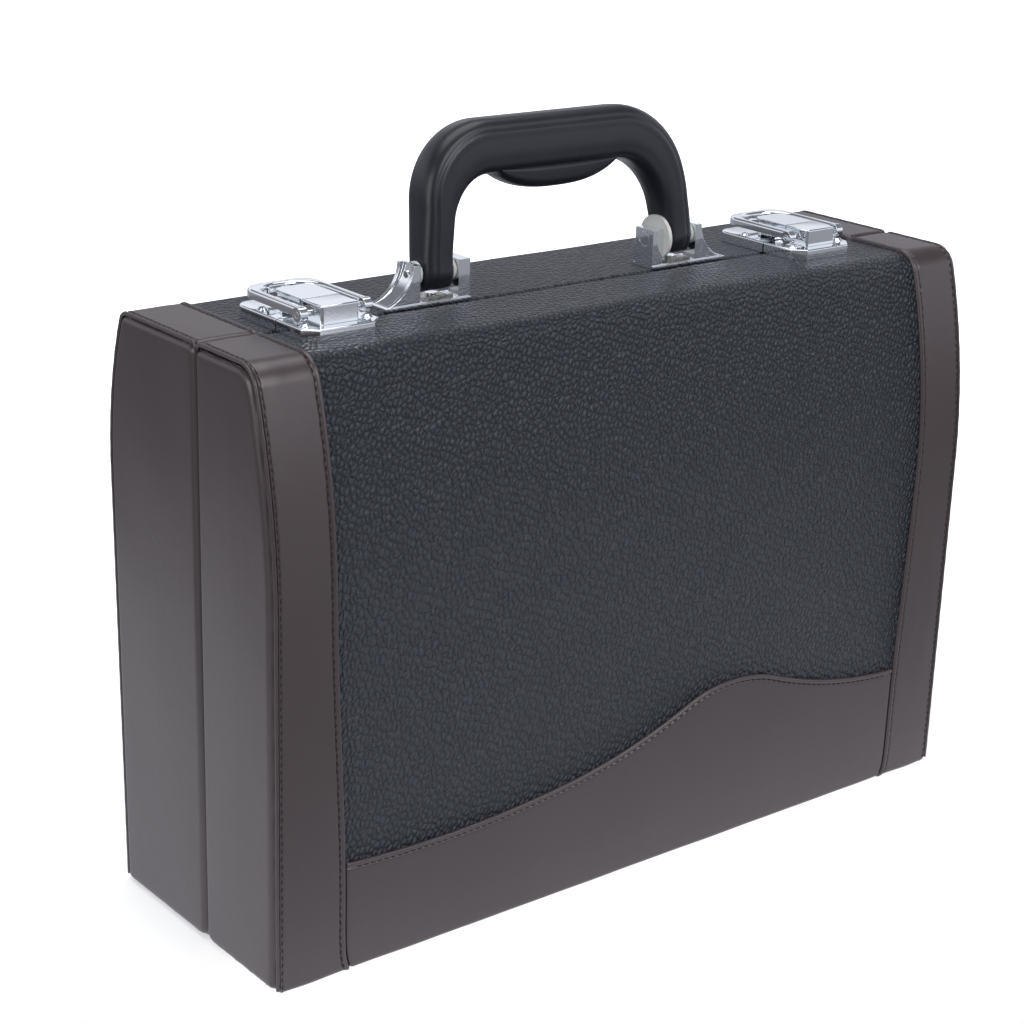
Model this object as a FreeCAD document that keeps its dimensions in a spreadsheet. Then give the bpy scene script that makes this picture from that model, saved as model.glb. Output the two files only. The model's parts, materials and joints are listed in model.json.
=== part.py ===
"""Hard clarinet case with two draw latches, a folding handle and a fitted inside.

Frame: X runs along the case, Y from the lid (negative) to the base (positive), Z up.
The case stands on its hinge side. The origin is the middle of the footprint, at its bottom.
Every piece is drawn in the frame of the seam between lid and base and is then placed.
"""
import FreeCAD, Part
import math
import os
import re
import Sketcher
from dataclasses import dataclass
from FreeCAD import Placement, Rotation, Vector

doc = FreeCAD.newDocument("clarinet_case")
sheet = doc.addObject("Spreadsheet::Sheet", "dims")

# Driving dimensions in millimetres and degrees.
SIZES = {
    # Whole case
    "case_length": 360, "case_height": 243,
    "lid_depth": 52, "base_depth": 66.4, "lid_foot_depth": 51, "base_foot_depth": 63.6,
    "lid_bend_height": 150, "base_bend_height": 178, "lid_bend_radius": 305, "base_bend_radius": 170,
    "lid_corner_round": 11, "base_corner_round": 10, "foot_round": 2.6,
    "seam_half_gap": 0.3, "seam_round": 2.5, "hinge_relief": 4.8, "lap": 4,
    # Walls and skins
    "shell_wall": 6, "wrap_thick": 2.2, "wrap_proud": 0.8, "strip_width": 28, "cover_seam_gap": 0.6,
    "panel_thick": 3.4, "panel_inset": 2.3, "panel_round": 2.2, "bead_thick": 1.6, "bead_inset": 0.2,
    "bead_from_end": 0.6,
    # Wave panel on the lid
    "wave_left_height": 47.2, "wave_fold": 20, "wave_side_gap": 0.4,
    # Fitted inside
    "fit_gap": 0.3, "block_below_seam": 4, "tongue_thick": 1.5, "tongue_in_base": 10, "tongue_in_lid": 6,
    "bay_wall": 8, "bay_margin": 11, "bay_round": 2,
    "upper_joint_width": 46, "upper_joint_depth": 38, "barrel_bay_length": 72.6,
    "lower_joint_width": 50, "lower_joint_depth": 40, "reed_bay_length": 48.6,
    "barrel_width": 38, "barrel_depth": 30,
    "bell_length": 110, "bell_radius": 41, "bell_throat_radius": 19, "bell_axis_depth": 8,
    "mouthpiece_width": 36, "mouthpiece_depth": 28,
    "accessory_depth": 40, "reed_bay_depth": 24, "lid_pad_thick": 9, "lid_pad_top_angle": 14,
    # Fittings on the top
    "handle_shift": -7.8, "latch_shift": -4.8, "latch_place_share": 0.3430556,
    "latch_half_width": 17, "plate_height": 4.6, "plate_wall": 1, "plate_seam_gap": 0.4,
    "latch_plate_reach": 22, "latch_plate_cut": 5, "plate_cut_angle": 45,
    "keeper_reach": 29.5, "keeper_round": 6,
    "housing_half_width": 8.3, "housing_height": 7.2, "housing_front": 17.4, "housing_rear": 4.6,
    "housing_wall": 0.9, "housing_side_wall": 1.2, "housing_cut": 0.9, "housing_fillet": 0.7,
    "crank_axis_back": 12.2, "crank_axis_height": 8.6, "crank_throw": 2.6, "crank_angle": 170,
    "journal_radius": 1.2, "link_pin_radius": 0.8, "run_clearance": 0.05, "knuckle_wall": 0.65,
    "crank_web": 1.2, "side_clearance": 0.2,
    "hook_cap_thick": 1.2, "hook_strip_thick": 0.8, "hook_reach": 15.8, "hook_gap": 0.6,
    "hook_flange": 2.6, "hook_flange_wall": 1.1, "hook_corner": 3.5, "lip_thick": 1.1, "lip_half_width": 6,
    "lip_floor_gap": 0.6, "ridge_thick": 1.4, "ridge_height": 3.4, "ridge_clearance": 0.3,
    "bail_half_width": 15.8, "bail_arm": 3.4, "bail_reach": 27.5, "bail_bar": 4.2, "bail_thick": 3.4,
    "bail_outer_round": 8.5, "bail_inner_round": 10.5, "bail_lug_radius": 2.8, "bail_fillet": 1.3,
    "rivet_radius": 1.2, "rivet_head_radius": 2.3, "rivet_head_height": 1, "rivet_length": 5,
    "rivet_across": 13.6, "rivet_along": 14.4,
    # Handle and its mounts
    "pivot_back": 7, "pivot_height": 12, "handle_lean": 8,
    "handle_width_share": 0.1922222, "leg_width": 14.5, "handle_top": 56.4, "grip_height": 19,
    "handle_thick": 19, "handle_outer_round": 30, "handle_inner_round": 15, "handle_fillet": 6,
    "leg_end_radius": 7.6, "leg_taper_height": 16,
    "pad_length_share": 0.4768786, "pad_flat_share": 0.3, "pad_knee_share": 0.68,
    "pad_knee_drop_share": 0.82, "pad_drop": 9, "pad_half_thick": 7.2, "pad_fillet": 3,
    "bush_radius": 3, "pivot_radius": 1.5, "pivot_head_radius": 3, "pivot_head_depth": 1.6,
    "washer_thick": 1.6, "washer_clearance": 0.15, "big_washer_radius": 9.3, "small_washer_radius": 4.6,
    "mount_half_width": 5.5, "mount_foot": 1, "mount_floor": 1.6, "post_height": 16.2, "inner_post": 5.5,
    "outer_post": 3.2, "mount_tail": 13.4, "tail_thick": 1.2, "flare_radius": 16, "trough_rim": 1.8,
    "trough_depth": 1.6, "spring_thick": 0.8, "spring_upstand": 1.8, "spring_width": 12,
    "spring_half_length": 5.4,
    "mount_screw_radius": 1.4, "mount_screw_length": 6, "mount_screw_head_radius": 2.6,
    "mount_screw_head_height": 1.1,
    # Hinges at the bottom seam
    "hinge_place_share": 0.3055556, "hinge_length": 42, "hinge_axis_height": 2.6, "hinge_barrel_radius": 2.2,
    "hinge_pin_radius": 1.1, "hinge_leaf": 1, "hinge_flange_reach": 18, "hinge_gap": 0.3,
    "hinge_screw_radius": 1.3, "hinge_screw_head_radius": 2.4, "hinge_screw_head_height": 0.9,
    "hinge_screw_length": 4.6, "hinge_screw_spacing": 14,
    # How far a cut runs past the face that it starts from
    "overrun": 2,
}

for row, (size_name, size_value) in enumerate(SIZES.items(), start=1):
    sheet.set("A%d" % row, size_name)
    sheet.set("B%d" % row, str(size_value))
    sheet.setAlias("B%d" % row, size_name)
doc.recompute()

nodes = []


def bound(text):
    """Turn size names in an expression into references to the sheet."""
    return re.sub(r"[a-z_]+", lambda m: "dims." + m.group() if m.group() in SIZES else m.group(), text)


def number(text):
    """Value of an expression of size names."""
    return float(sheet.evalExpression(bound(text)))


def bind(obj, prop, text):
    """Bind one property to an expression of size names."""
    obj.setExpression(prop, bound(text))


# Derived places that many pieces share, as expressions.
SHELL_HALF = "(case_length / 2 - panel_thick)"
STRIP_INNER = "(case_length / 2 - strip_width)"
BEAD_X = "(case_length / 2 - bead_thick - bead_from_end)"
SEAM_Y = "((lid_depth - base_depth) / 2)"
TOP = "(case_height - wrap_proud)"
INNER = "(wrap_thick + shell_wall)"
SHELL_SEAM = "(seam_half_gap + wrap_thick)"


@dataclass(frozen=True)
class Half:
    """One half of the case: its side profile, with depth measured from the seam."""

    name: str
    side: int
    depth: str
    foot: str
    bend_height: str
    bend_radius: str
    corner: str

    @property
    def lean(self):
        return "atan((%s - %s) / %s)" % (self.depth, self.foot, self.bend_height)

    @property
    def bend_centre(self):
        return ("(%s - %s * cos(%s))" % (self.depth, self.bend_radius, self.lean),
                "(%s + %s * sin(%s))" % (self.bend_height, self.bend_radius, self.lean))

    @property
    def corner_centre(self):
        across, up = self.bend_centre
        rise = "(case_height - %s - %s)" % (self.corner, up)
        return ("(%s + sqrt((%s - %s)^2 - %s^2))" % (across, self.bend_radius, self.corner, rise),
                "(case_height - %s)" % self.corner)

    def foot_point(self, inset):
        """Sharp bottom corner of the profile at this inset."""
        return ("(%s - %s * (1 - sin(%s)) / cos(%s))" % (self.foot, inset, self.lean, self.lean), inset)

    def foot_arc(self, inset):
        """Ends of the round at the bottom corner, and its radius."""
        centre = "(%s - foot_round * (1 - sin(%s)) / cos(%s))" % (self.foot, self.lean, self.lean)
        radius = "(foot_round - %s)" % inset
        upper = ("(%s + %s * cos(%s))" % (centre, radius, self.lean),
                 "(foot_round - %s * sin(%s))" % (radius, self.lean))
        return (centre, inset), upper, radius

    def bend_start(self, inset):
        return ("(%s - %s * cos(%s))" % (self.depth, inset, self.lean),
                "(%s + %s * sin(%s))" % (self.bend_height, inset, self.lean))

    def bend_end(self, inset):
        """Point where the long bend meets the round of the top corner."""
        (bx, bz), (cx, cz) = self.bend_centre, self.corner_centre
        share = "((%s - %s) / (%s - %s))" % (self.bend_radius, inset, self.bend_radius, self.corner)
        return ("(%s + (%s - %s) * %s)" % (bx, cx, bx, share), "(%s + (%s - %s) * %s)" % (bz, cz, bz, share))

    def signed(self, points):
        """Mirror a run of points for the lid. The third item of a point is an arc radius and its turn."""
        mirrored = []
        for across, up, *arc in points:
            turned = [(arc[0][0], arc[0][1] * self.side)] if arc else []
            mirrored.append(("%d * %s" % (self.side, across), up, *turned))
        return mirrored

    def back(self, inset):
        """Run up the outer side: long bend, top corner and the start of the flat top."""
        return [(*self.bend_start(inset), ("(%s - %s)" % (self.bend_radius, inset), 1)),
                (*self.bend_end(inset), ("(%s - %s)" % (self.corner, inset), 1)),
                (self.corner_centre[0], "(case_height - %s)" % inset)]

    def closed(self, inset, seam):
        """Closed outline at an inset with square corners, its straight side at a distance from the seam."""
        return self.signed([(seam, inset), self.foot_point(inset), *self.back(inset),
                            (seam, "(case_height - %s)" % inset)])

    def edge(self, inset, seam):
        """Run from the seam at the bottom to the seam at the top, rounded at both and at the foot."""
        low, high, foot_radius = self.foot_arc(inset)
        relief = "(hinge_relief - %s)" % inset
        turn = "(seam_round - %s)" % inset
        return [(seam, "hinge_relief", (relief, 1)), ("(%s + %s)" % (seam, relief), inset),
                (*low, (foot_radius, 1)), high, *self.back(inset),
                ("(%s + %s)" % (seam, turn), "(case_height - %s)" % inset, (turn, 1)),
                (seam, "(case_height - seam_round)")]

    def run(self, inset, seam):
        """The same run with laps into the seam at both ends."""
        return [(seam, "(hinge_relief + lap)"), *self.edge(inset, seam),
                (seam, "(case_height - seam_round - lap)")]

    def band(self, outer, inner, outer_seam, inner_seam):
        """Closed outline of a sheet wrapped round the half, between two insets."""
        return self.signed(self.run(outer, outer_seam) + reverse(self.run(inner, inner_seam)))

    def hem(self, outer, inner):
        """Closed outline of a band round the bottom, back and top only, between two insets."""
        lines = []
        for inset in (outer, inner):
            low, high, foot_radius = self.foot_arc(inset)
            lines.append([("(seam_half_gap + hinge_relief)", inset), (*low, (foot_radius, 1)), high,
                          *self.back(inset), ("(seam_half_gap + seam_round)", "(case_height - %s)" % inset)])
        return self.signed(lines[0] + reverse(lines[1]))


def reverse(points):
    """Walk an open run of points backwards, with its arcs turned the other way."""
    plain = [(p[0], p[1]) for p in points]
    arcs = [p[2] if len(p) > 2 else None for p in points]
    back = []
    for index in range(len(points) - 1, -1, -1):
        arc = arcs[index - 1] if index else None
        back.append((*plain[index], (arc[0], -arc[1])) if arc else plain[index])
    return back


LID = Half("lid", -1, "lid_depth", "lid_foot_depth", "lid_bend_height", "lid_bend_radius",
           "lid_corner_round")
BASE = Half("base", 1, "base_depth", "base_foot_depth", "base_bend_height", "base_bend_radius",
            "base_corner_round")


def new_body(name):
    """Start a piece in the frame of the seam."""
    body = doc.addObject("PartDesign::Body", name)
    body.Label = name
    bind(body, ".Placement.Base.y", SEAM_Y)
    nodes.append((name, body))
    return body


def new_sketch(body, role, offset="0"):
    """Sketch on one of the body's own planes, moved along the plane's normal."""
    plane = [item for item in body.Origin.OriginFeatures if item.Role == role][0]
    sketch = body.newObject("Sketcher::SketchObject", body.Name + "_sketch")
    sketch.AttachmentSupport = (plane, [""])
    sketch.MapMode = "FlatFace"
    if offset != "0":
        bind(sketch, ".AttachmentOffset.Base.z", offset)
    return sketch


def arc_between(start, end, radius, turn):
    """Arc of under half a circle from start to end that turns left or right."""
    chord = end - start
    middle = (start + end) / 2
    left = Vector(-chord.y, chord.x, 0).normalize()
    reach = math.sqrt(max(radius ** 2 - (chord.Length / 2) ** 2, 0))
    centre = middle + left * reach * turn
    first, last = (start, end) if turn > 0 else (end, start)
    a0 = math.atan2(first.y - centre.y, first.x - centre.x)
    a1 = math.atan2(last.y - centre.y, last.x - centre.x)
    return Part.ArcOfCircle(Part.Circle(centre, Vector(0, 0, 1), radius), a0, a1)


def place_point(sketch, edge, end, across, up):
    """Hold one end of an edge at two expressions from the sketch's origin."""
    for kind, text in (("DistanceX", across), ("DistanceY", up)):
        index = sketch.addConstraint(Sketcher.Constraint(kind, -1, 1, edge, end, number(text)))
        sketch.setExpression("Constraints[%d]" % index, bound(text))


def draw(sketch, points, closed=True):
    """Draw lines and arcs through points whose places are expressions."""
    places = [Vector(number(p[0]), number(p[1]), 0) for p in points]
    count = len(points) if closed else len(points) - 1
    ends = []
    for index in range(count):
        start, end = places[index], places[(index + 1) % len(points)]
        if len(points[index]) > 2:
            radius, turn = points[index][2]
            edge = sketch.addGeometry(arc_between(start, end, number(radius), turn), False)
            bent = sketch.addConstraint(Sketcher.Constraint("Radius", edge, number(radius)))
            sketch.setExpression("Constraints[%d]" % bent, bound(radius))
            ends.append((edge, 1, 2) if turn > 0 else (edge, 2, 1))
        else:
            edge = sketch.addGeometry(Part.LineSegment(start, end), False)
            ends.append((edge, 1, 2))
    for index, (edge, first, last) in enumerate(ends):
        place_point(sketch, edge, first, points[index][0], points[index][1])
        if index + 1 < count or closed:
            following = ends[(index + 1) % count]
            sketch.addConstraint(Sketcher.Constraint("Coincident", edge, last, following[0], following[1]))
        else:
            place_point(sketch, edge, last, points[-1][0], points[-1][1])
    return sketch


def circle(sketch, across, up, radius):
    """Circle with its centre and radius bound."""
    centre = Vector(number(across), number(up), 0)
    edge = sketch.addGeometry(Part.Circle(centre, Vector(0, 0, 1), number(radius)), False)
    place_point(sketch, edge, 3, across, up)
    index = sketch.addConstraint(Sketcher.Constraint("Radius", edge, number(radius)))
    sketch.setExpression("Constraints[%d]" % index, bound(radius))
    return sketch


def box_points(low_x, high_x, low_y, high_y):
    return [(low_x, low_y), (high_x, low_y), (high_x, high_y), (low_x, high_y)]


def extrude(body, kind, sketch, length, side="One side", back=False):
    """Pad or pocket of one sketch."""
    feature = body.newObject("PartDesign::" + kind, body.Name + "_" + kind.lower())
    feature.Profile = sketch
    bind(feature, "Length", length)
    feature.SideType = side
    feature.Reversed = back
    doc.recompute()
    return feature


def pad(body, sketch, length, side="One side", back=False):
    return extrude(body, "Pad", sketch, length, side, back)


def pocket(body, sketch, length, side="One side", back=False):
    """Pocket that must take material away."""
    before = body.Shape.Volume
    feature = extrude(body, "Pocket", sketch, length, side, back)
    if not body.Shape.Volume < before:
        raise RuntimeError("a pocket of %s cuts nothing" % body.Label)
    return feature


def fillet_faces(body, radius, chosen):
    """Round every edge of the faces for which chosen(face) is true."""
    tip = body.Tip
    names = ["Face%d" % (i + 1) for i, face in enumerate(tip.Shape.Faces) if chosen(face)]
    feature = body.newObject("PartDesign::Fillet", body.Name + "_fillet")
    feature.Base = (tip, names)
    bind(feature, "Radius", radius)
    doc.recompute()
    return feature


def flat_at(axis, value):
    """Test for a flat face square to an axis at a place, both in the body's own frame."""
    def test(face):
        box = face.BoundBox
        low, high = (box.XMin, box.YMin, box.ZMin)[axis], (box.XMax, box.YMax, box.ZMax)[axis]
        return abs(low - value) < TOUCH and abs(high - value) < TOUCH
    return test


TOUCH = number("run_clearance") / 10


def group(name, shapes, offset=SEAM_Y):
    """One node of identical pieces, each a separate solid."""
    compound = doc.addObject("Part::Compound", name)
    compound.Label = name
    compound.Links = shapes
    bind(compound, ".Placement.Base.y", offset)
    nodes.append((name, compound))
    return compound


def cylinder(name, radius, length, place, axis="z"):
    """Cylinder whose start is at three expressions."""
    item = doc.addObject("Part::Cylinder", name)
    bind(item, "Radius", radius)
    bind(item, "Height", length)
    turns = {"x": Rotation(Vector(0, 1, 0), 90), "y": Rotation(Vector(1, 0, 0), -90), "z": Rotation()}
    item.Placement = Placement(Vector(), turns[axis])
    for letter, text in zip("xyz", place):
        bind(item, ".Placement.Base." + letter, text)
    return item


def union(name, shapes):
    item = doc.addObject("Part::MultiFuse", name)
    item.Shapes = shapes
    return item


def cut(name, base, tool):
    item = doc.addObject("Part::Cut", name)
    item.Base = base
    item.Tool = tool
    return item


# Shells, skins and edge trims of the two halves


def shell(half):
    """Wooden shell, open towards the seam."""
    body = new_body(half.name + "_shell")
    pad(body, draw(new_sketch(body, "YZ_Plane"), half.signed(half.edge("wrap_thick", SHELL_SEAM))),
        "2 * " + SHELL_HALF, "Symmetric")
    pocket(body, draw(new_sketch(body, "YZ_Plane"), half.closed(INNER, "(0 - overrun)")),
           "2 * (%s - shell_wall)" % SHELL_HALF, "Symmetric")
    return body


def cover(half):
    """Grained black skin between the end strips."""
    body = new_body(half.name + "_cover")
    outline = half.band("wrap_proud", "wrap_thick", "cover_seam_gap", SHELL_SEAM)
    pad(body, draw(new_sketch(body, "YZ_Plane"), outline), "2 * " + STRIP_INNER, "Symmetric")
    for end in (-1, 1):
        notch = new_sketch(body, "YZ_Plane", "%d * case_length * hinge_place_share" % end)
        reach = "%d * %s" % (half.side, SHELL_SEAM)
        beyond = "%d * overrun" % (-half.side)
        draw(notch, box_points(beyond, reach, "-1 * overrun", "(hinge_relief + lap + overrun)"))
        pocket(body, notch, "(hinge_length + 2 * hinge_gap)", "Symmetric")
    return body


def wrap(half, end_name, end):
    """Smooth brown strip round one end of a half, over the end panel's edge."""
    body = new_body("%s_%s_wrap" % (half.name, end_name))
    outline = half.band("0", "wrap_thick", "seam_half_gap", SHELL_SEAM)
    sketch = draw(new_sketch(body, "YZ_Plane", "%d * %s" % (end, STRIP_INNER)), outline)
    pad(body, sketch, "(%s - %s)" % (SHELL_HALF, STRIP_INNER), back=end < 0)
    hem = draw(new_sketch(body, "YZ_Plane", "%d * %s" % (end, SHELL_HALF)), half.hem("0", "wrap_thick"))
    pad(body, hem, "(%s - %s)" % (BEAD_X, SHELL_HALF), back=end < 0)
    return body


def end_panel(half, end_name, end):
    """Padded brown panel on one end of a half."""
    body = new_body("%s_%s_end_panel" % (half.name, end_name))
    seam, top = "seam_half_gap", "(case_height - panel_inset)"
    outline = [(seam, "(panel_inset + hinge_relief)", ("hinge_relief", 1)),
               ("(seam_half_gap + hinge_relief)", "panel_inset"), half.foot_point("panel_inset"),
               *half.back("panel_inset"), (seam, top)]
    sketch = draw(new_sketch(body, "YZ_Plane", "%d * %s" % (end, SHELL_HALF)), half.signed(outline))
    pad(body, sketch, "panel_thick", back=end < 0)
    fillet_faces(body, "panel_round", flat_at(0, end * number("case_length / 2")))
    return body


def bead(half, end_name, end):
    """Rolled edge along the corner between the end panel and the strip."""
    body = new_body("%s_%s_edge_bead" % (half.name, end_name))
    outline = half.hem("bead_inset", "(bead_inset + bead_thick)")
    sketch = draw(new_sketch(body, "YZ_Plane", "%d * %s" % (end, BEAD_X)), outline)
    pad(body, sketch, "bead_thick", back=end < 0)
    return body


# The wave is a chain of tangent arcs: stations along the panel and the slope at each.
WAVE_STATION_SHARES = (-1, -0.26, 0.156, 0.489, 1)
WAVE_SLOPES = (-5, 8, 23.5, -21, -1)


def wave_run(half_length):
    """Open run of tangent arcs along the upper edge of the wave panel."""
    points = []
    height = "wave_left_height"
    for index, share in enumerate(WAVE_STATION_SHARES):
        across = "(%s * %s)" % (share, half_length)
        if index == len(WAVE_STATION_SHARES) - 1:
            points.append((across, height))
            break
        span = "(%s * %s)" % (WAVE_STATION_SHARES[index + 1] - share, half_length)
        low, high = WAVE_SLOPES[index], WAVE_SLOPES[index + 1]
        bend = math.sin(math.radians(high)) - math.sin(math.radians(low))
        points.append((across, height, ("(%s / %s)" % (span, abs(bend)), 1 if bend > 0 else -1)))
        height = "(%s + %s * %s)" % (height, span, math.tan(math.radians((low + high) / 2)))
    return points


def wave_panel():
    """Brown panel over the lower part of the lid, with a wavy upper edge."""
    body = new_body("lid_wave_panel")
    low, high, radius = LID.foot_arc("0")
    inner_low, inner_high, inner_radius = LID.foot_arc("wrap_proud")
    fold = "(lid_foot_depth - wave_fold)"
    outline = [(fold, "0"), (*low, (radius, 1)), high, LID.bend_start("0"), LID.bend_start("wrap_proud"),
               (*inner_high, (inner_radius, -1)), inner_low, (fold, "wrap_proud")]
    length = "(%s - wave_side_gap)" % STRIP_INNER
    pad(body, draw(new_sketch(body, "YZ_Plane"), LID.signed(outline)), "2 * " + length, "Symmetric")
    reach = "(%s + overrun)" % length
    top = "(lid_bend_height + overrun)"
    run = wave_run(reach)
    pocket(body, draw(new_sketch(body, "XZ_Plane"), run + [(reach, top), ("-1 * " + reach, top)]),
           "4 * lid_depth", "Symmetric")
    return body


# Fitted inside


def tongue():
    """Three-sided closing strip that stands in the base and enters the lid."""
    body = new_body("rim_tongue")
    out_x = "(%s - shell_wall - fit_gap)" % SHELL_HALF
    out_z = "(case_height - %s - fit_gap)" % INNER
    low = "(hinge_relief + lap + fit_gap)"
    in_x = "(%s - tongue_thick)" % out_x
    in_z = "(%s - tongue_thick)" % out_z
    outline = [("-1 * " + out_x, low), ("-1 * " + in_x, low), ("-1 * " + in_x, in_z), (in_x, in_z),
               (in_x, low), (out_x, low), (out_x, out_z), ("-1 * " + out_x, out_z)]
    pad(body, draw(new_sketch(body, "XZ_Plane", "-1 * tongue_in_base"), outline),
        "(tongue_in_base + tongue_in_lid)")
    return body


BLOCK_X = "(%s - shell_wall - fit_gap)" % SHELL_HALF
BLOCK_LOW = "(%s + fit_gap)" % INNER
BLOCK_HIGH = "(case_height - %s - fit_gap)" % INNER


def bay(body, low_x, high_x, low_z, high_z, depth):
    """Straight-sided recess in the block, cut from its open face."""
    sketch = new_sketch(body, "XZ_Plane", "-1 * block_below_seam")
    draw(sketch, box_points(low_x, high_x, low_z, high_z))
    return pocket(body, sketch, depth, back=False)


def trough(body, low_x, length, middle_z, width, depth):
    """Recess with a round bottom for a tubular piece that lies along the case."""
    half = "(%s / 2)" % width
    open_y = "(block_below_seam - overrun)"
    deep_y = "(block_below_seam + %s)" % depth
    turn_y = "(%s - %s)" % (deep_y, half)
    sketch = new_sketch(body, "YZ_Plane", low_x)
    below, above = "(%s - %s)" % (middle_z, half), "(%s + %s)" % (middle_z, half)
    draw(sketch, [(open_y, below), (turn_y, below, (half, 1)), (deep_y, middle_z, (half, 1)),
                  (turn_y, above), (open_y, above)])
    return pocket(body, sketch, length, back=True)


@dataclass(frozen=True)
class Layout:
    """Places of the recesses, from the lower left corner of the block."""

    left: str = "(0 - %s + bay_margin)" % BLOCK_X
    low: str = "(%s + bay_margin)" % BLOCK_LOW
    bell_high: str = "(%s + bay_margin + 2 * bell_radius)" % BLOCK_LOW
    lower_joint: str = "(%s + bay_margin + 2 * bell_radius + bay_wall + lower_joint_width / 2)" % BLOCK_LOW
    upper_joint: str = ("(%s + bay_margin + 2 * bell_radius + 2 * bay_wall + lower_joint_width"
                        " + upper_joint_width / 2)" % BLOCK_LOW)
    right: str = "(%s - bay_margin)" % BLOCK_X


def insert_block():
    """Moulded block that holds the parts of the instrument in the base."""
    body = new_body("base_insert")
    place = Layout()
    pad(body, draw(new_sketch(body, "YZ_Plane"), BASE.closed(BLOCK_LOW, "block_below_seam")),
        "2 * " + BLOCK_X, "Symmetric")
    seat = new_sketch(body, "XZ_Plane", "-1 * (tongue_in_base + fit_gap)")
    in_x = "(%s - tongue_thick - fit_gap)" % BLOCK_X
    in_z = "(%s - tongue_thick - fit_gap)" % BLOCK_HIGH
    far_x = "(%s + overrun)" % BLOCK_X
    far_z = "(%s + overrun)" % BLOCK_HIGH
    below = "(%s - overrun)" % BLOCK_LOW
    draw(seat, [("-1 * " + far_x, below), ("-1 * " + in_x, below), ("-1 * " + in_x, in_z), (in_x, in_z),
                (in_x, below), (far_x, below), (far_x, far_z), ("-1 * " + far_x, far_z)])
    pocket(body, seat, "(tongue_in_base + fit_gap)", back=True)
    run = "(%s - %s - bay_wall - %%s)" % (place.right, place.left)
    trough(body, place.left, run % "barrel_bay_length", place.upper_joint, "upper_joint_width",
           "upper_joint_depth")
    trough(body, place.left, run % "reed_bay_length", place.lower_joint, "lower_joint_width",
           "lower_joint_depth")
    trough(body, "(%s - barrel_bay_length)" % place.right, "barrel_bay_length", place.upper_joint,
           "barrel_width", "barrel_depth")
    groove_x = "(%s + bell_length)" % place.left
    bell = new_sketch(body, "XZ_Plane", "-1 * (block_below_seam + bell_axis_depth)")
    middle = "(%s + bell_radius)" % place.low
    draw(bell, [(place.left, middle), (groove_x, middle), (groove_x, "(%s + bell_throat_radius)" % middle),
                (place.left, "(%s + bell_radius)" % middle)])
    mouth = new_sketch(body, "XZ_Plane", "-1 * block_below_seam")
    below = "(%s - bell_throat_radius)" % middle
    draw(mouth, [(place.left, place.low), (groove_x, below), (groove_x, "(%s + bell_throat_radius)" % middle),
                 (place.left, "(%s + bell_radius)" % middle)])
    pocket(body, mouth, "bell_axis_depth")
    revolve = body.newObject("PartDesign::Groove", "bell_groove")
    revolve.Profile = bell
    revolve.ReferenceAxis = (bell, ["Edge1"])
    revolve.Angle = 360
    doc.recompute()
    mouth_low = "(%s + bell_length + bay_wall)" % place.left
    mouth_high = "(%s + mouthpiece_width)" % mouth_low
    bay(body, mouth_low, mouth_high, place.low, place.bell_high, "mouthpiece_depth")
    bay(body, "(%s + bay_wall)" % mouth_high, place.right, place.low, place.bell_high, "accessory_depth")
    reed_low = "(%s - reed_bay_length)" % place.right
    bay(body, reed_low, place.right, "(%s - lower_joint_width / 2)" % place.lower_joint,
        "(%s + lower_joint_width / 2)" % place.lower_joint, "reed_bay_depth")
    for end in (-1, 1):
        clear = new_sketch(body, "XY_Plane", "%s" % BLOCK_LOW)
        half_length = "(hinge_length / 2 + bay_round)"
        middle_x = "%d * case_length * hinge_place_share" % end
        draw(clear, box_points("(%s - %s)" % (middle_x, half_length), "(%s + %s)" % (middle_x, half_length),
                               "(block_below_seam - overrun)", "(hinge_flange_reach + bay_round)"))
        pocket(body, clear, "(hinge_leaf + hinge_screw_head_height + fit_gap)", back=True)
    return body


def lid_pad():
    """Soft pad on the inside of the lid's broad face."""
    body = new_body("lid_pad")
    seam = "(lid_foot_depth - %s - lid_pad_thick)" % BLOCK_LOW
    across, up = LID.bend_centre
    reach = "(lid_bend_radius - %s)" % BLOCK_LOW
    top = "(%s + %s * sin(lid_pad_top_angle))" % (up, reach)
    outline = [(seam, BLOCK_LOW), LID.foot_point(BLOCK_LOW), (*LID.bend_start(BLOCK_LOW), (reach, 1)),
               ("(%s + %s * cos(lid_pad_top_angle))" % (across, reach), top), (seam, top)]
    pad(body, draw(new_sketch(body, "YZ_Plane"), LID.signed(outline)), "2 * " + BLOCK_X, "Symmetric")
    return body


# Draw latches on the top

SIDES = (("left", -1), ("right", 1))


def set_on_top(body, end):
    """Place a latch piece, drawn about the middle of its latch, on the top of the case."""
    bind(body, ".Placement.Base.x", "(latch_shift + %d * case_length * latch_place_share)" % end)
    bind(body, ".Placement.Base.z", TOP)


def tray(body, outline, inner):
    """Pressed plate with a turned-down edge, open below."""
    pad(body, draw(new_sketch(body, "XY_Plane"), outline), "plate_height")
    fillet_faces(body, "housing_fillet", flat_at(2, number("plate_height")))
    pocket(body, draw(new_sketch(body, "XY_Plane"), inner), "(plate_height - plate_wall)", back=True)


def rivet_holes(body, along):
    sketch = new_sketch(body, "XY_Plane")
    for end in (-1, 1):
        circle(sketch, "%d * rivet_across" % end, along, "rivet_radius")
    pocket(body, sketch, "(plate_height + overrun)", back=True)


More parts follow.
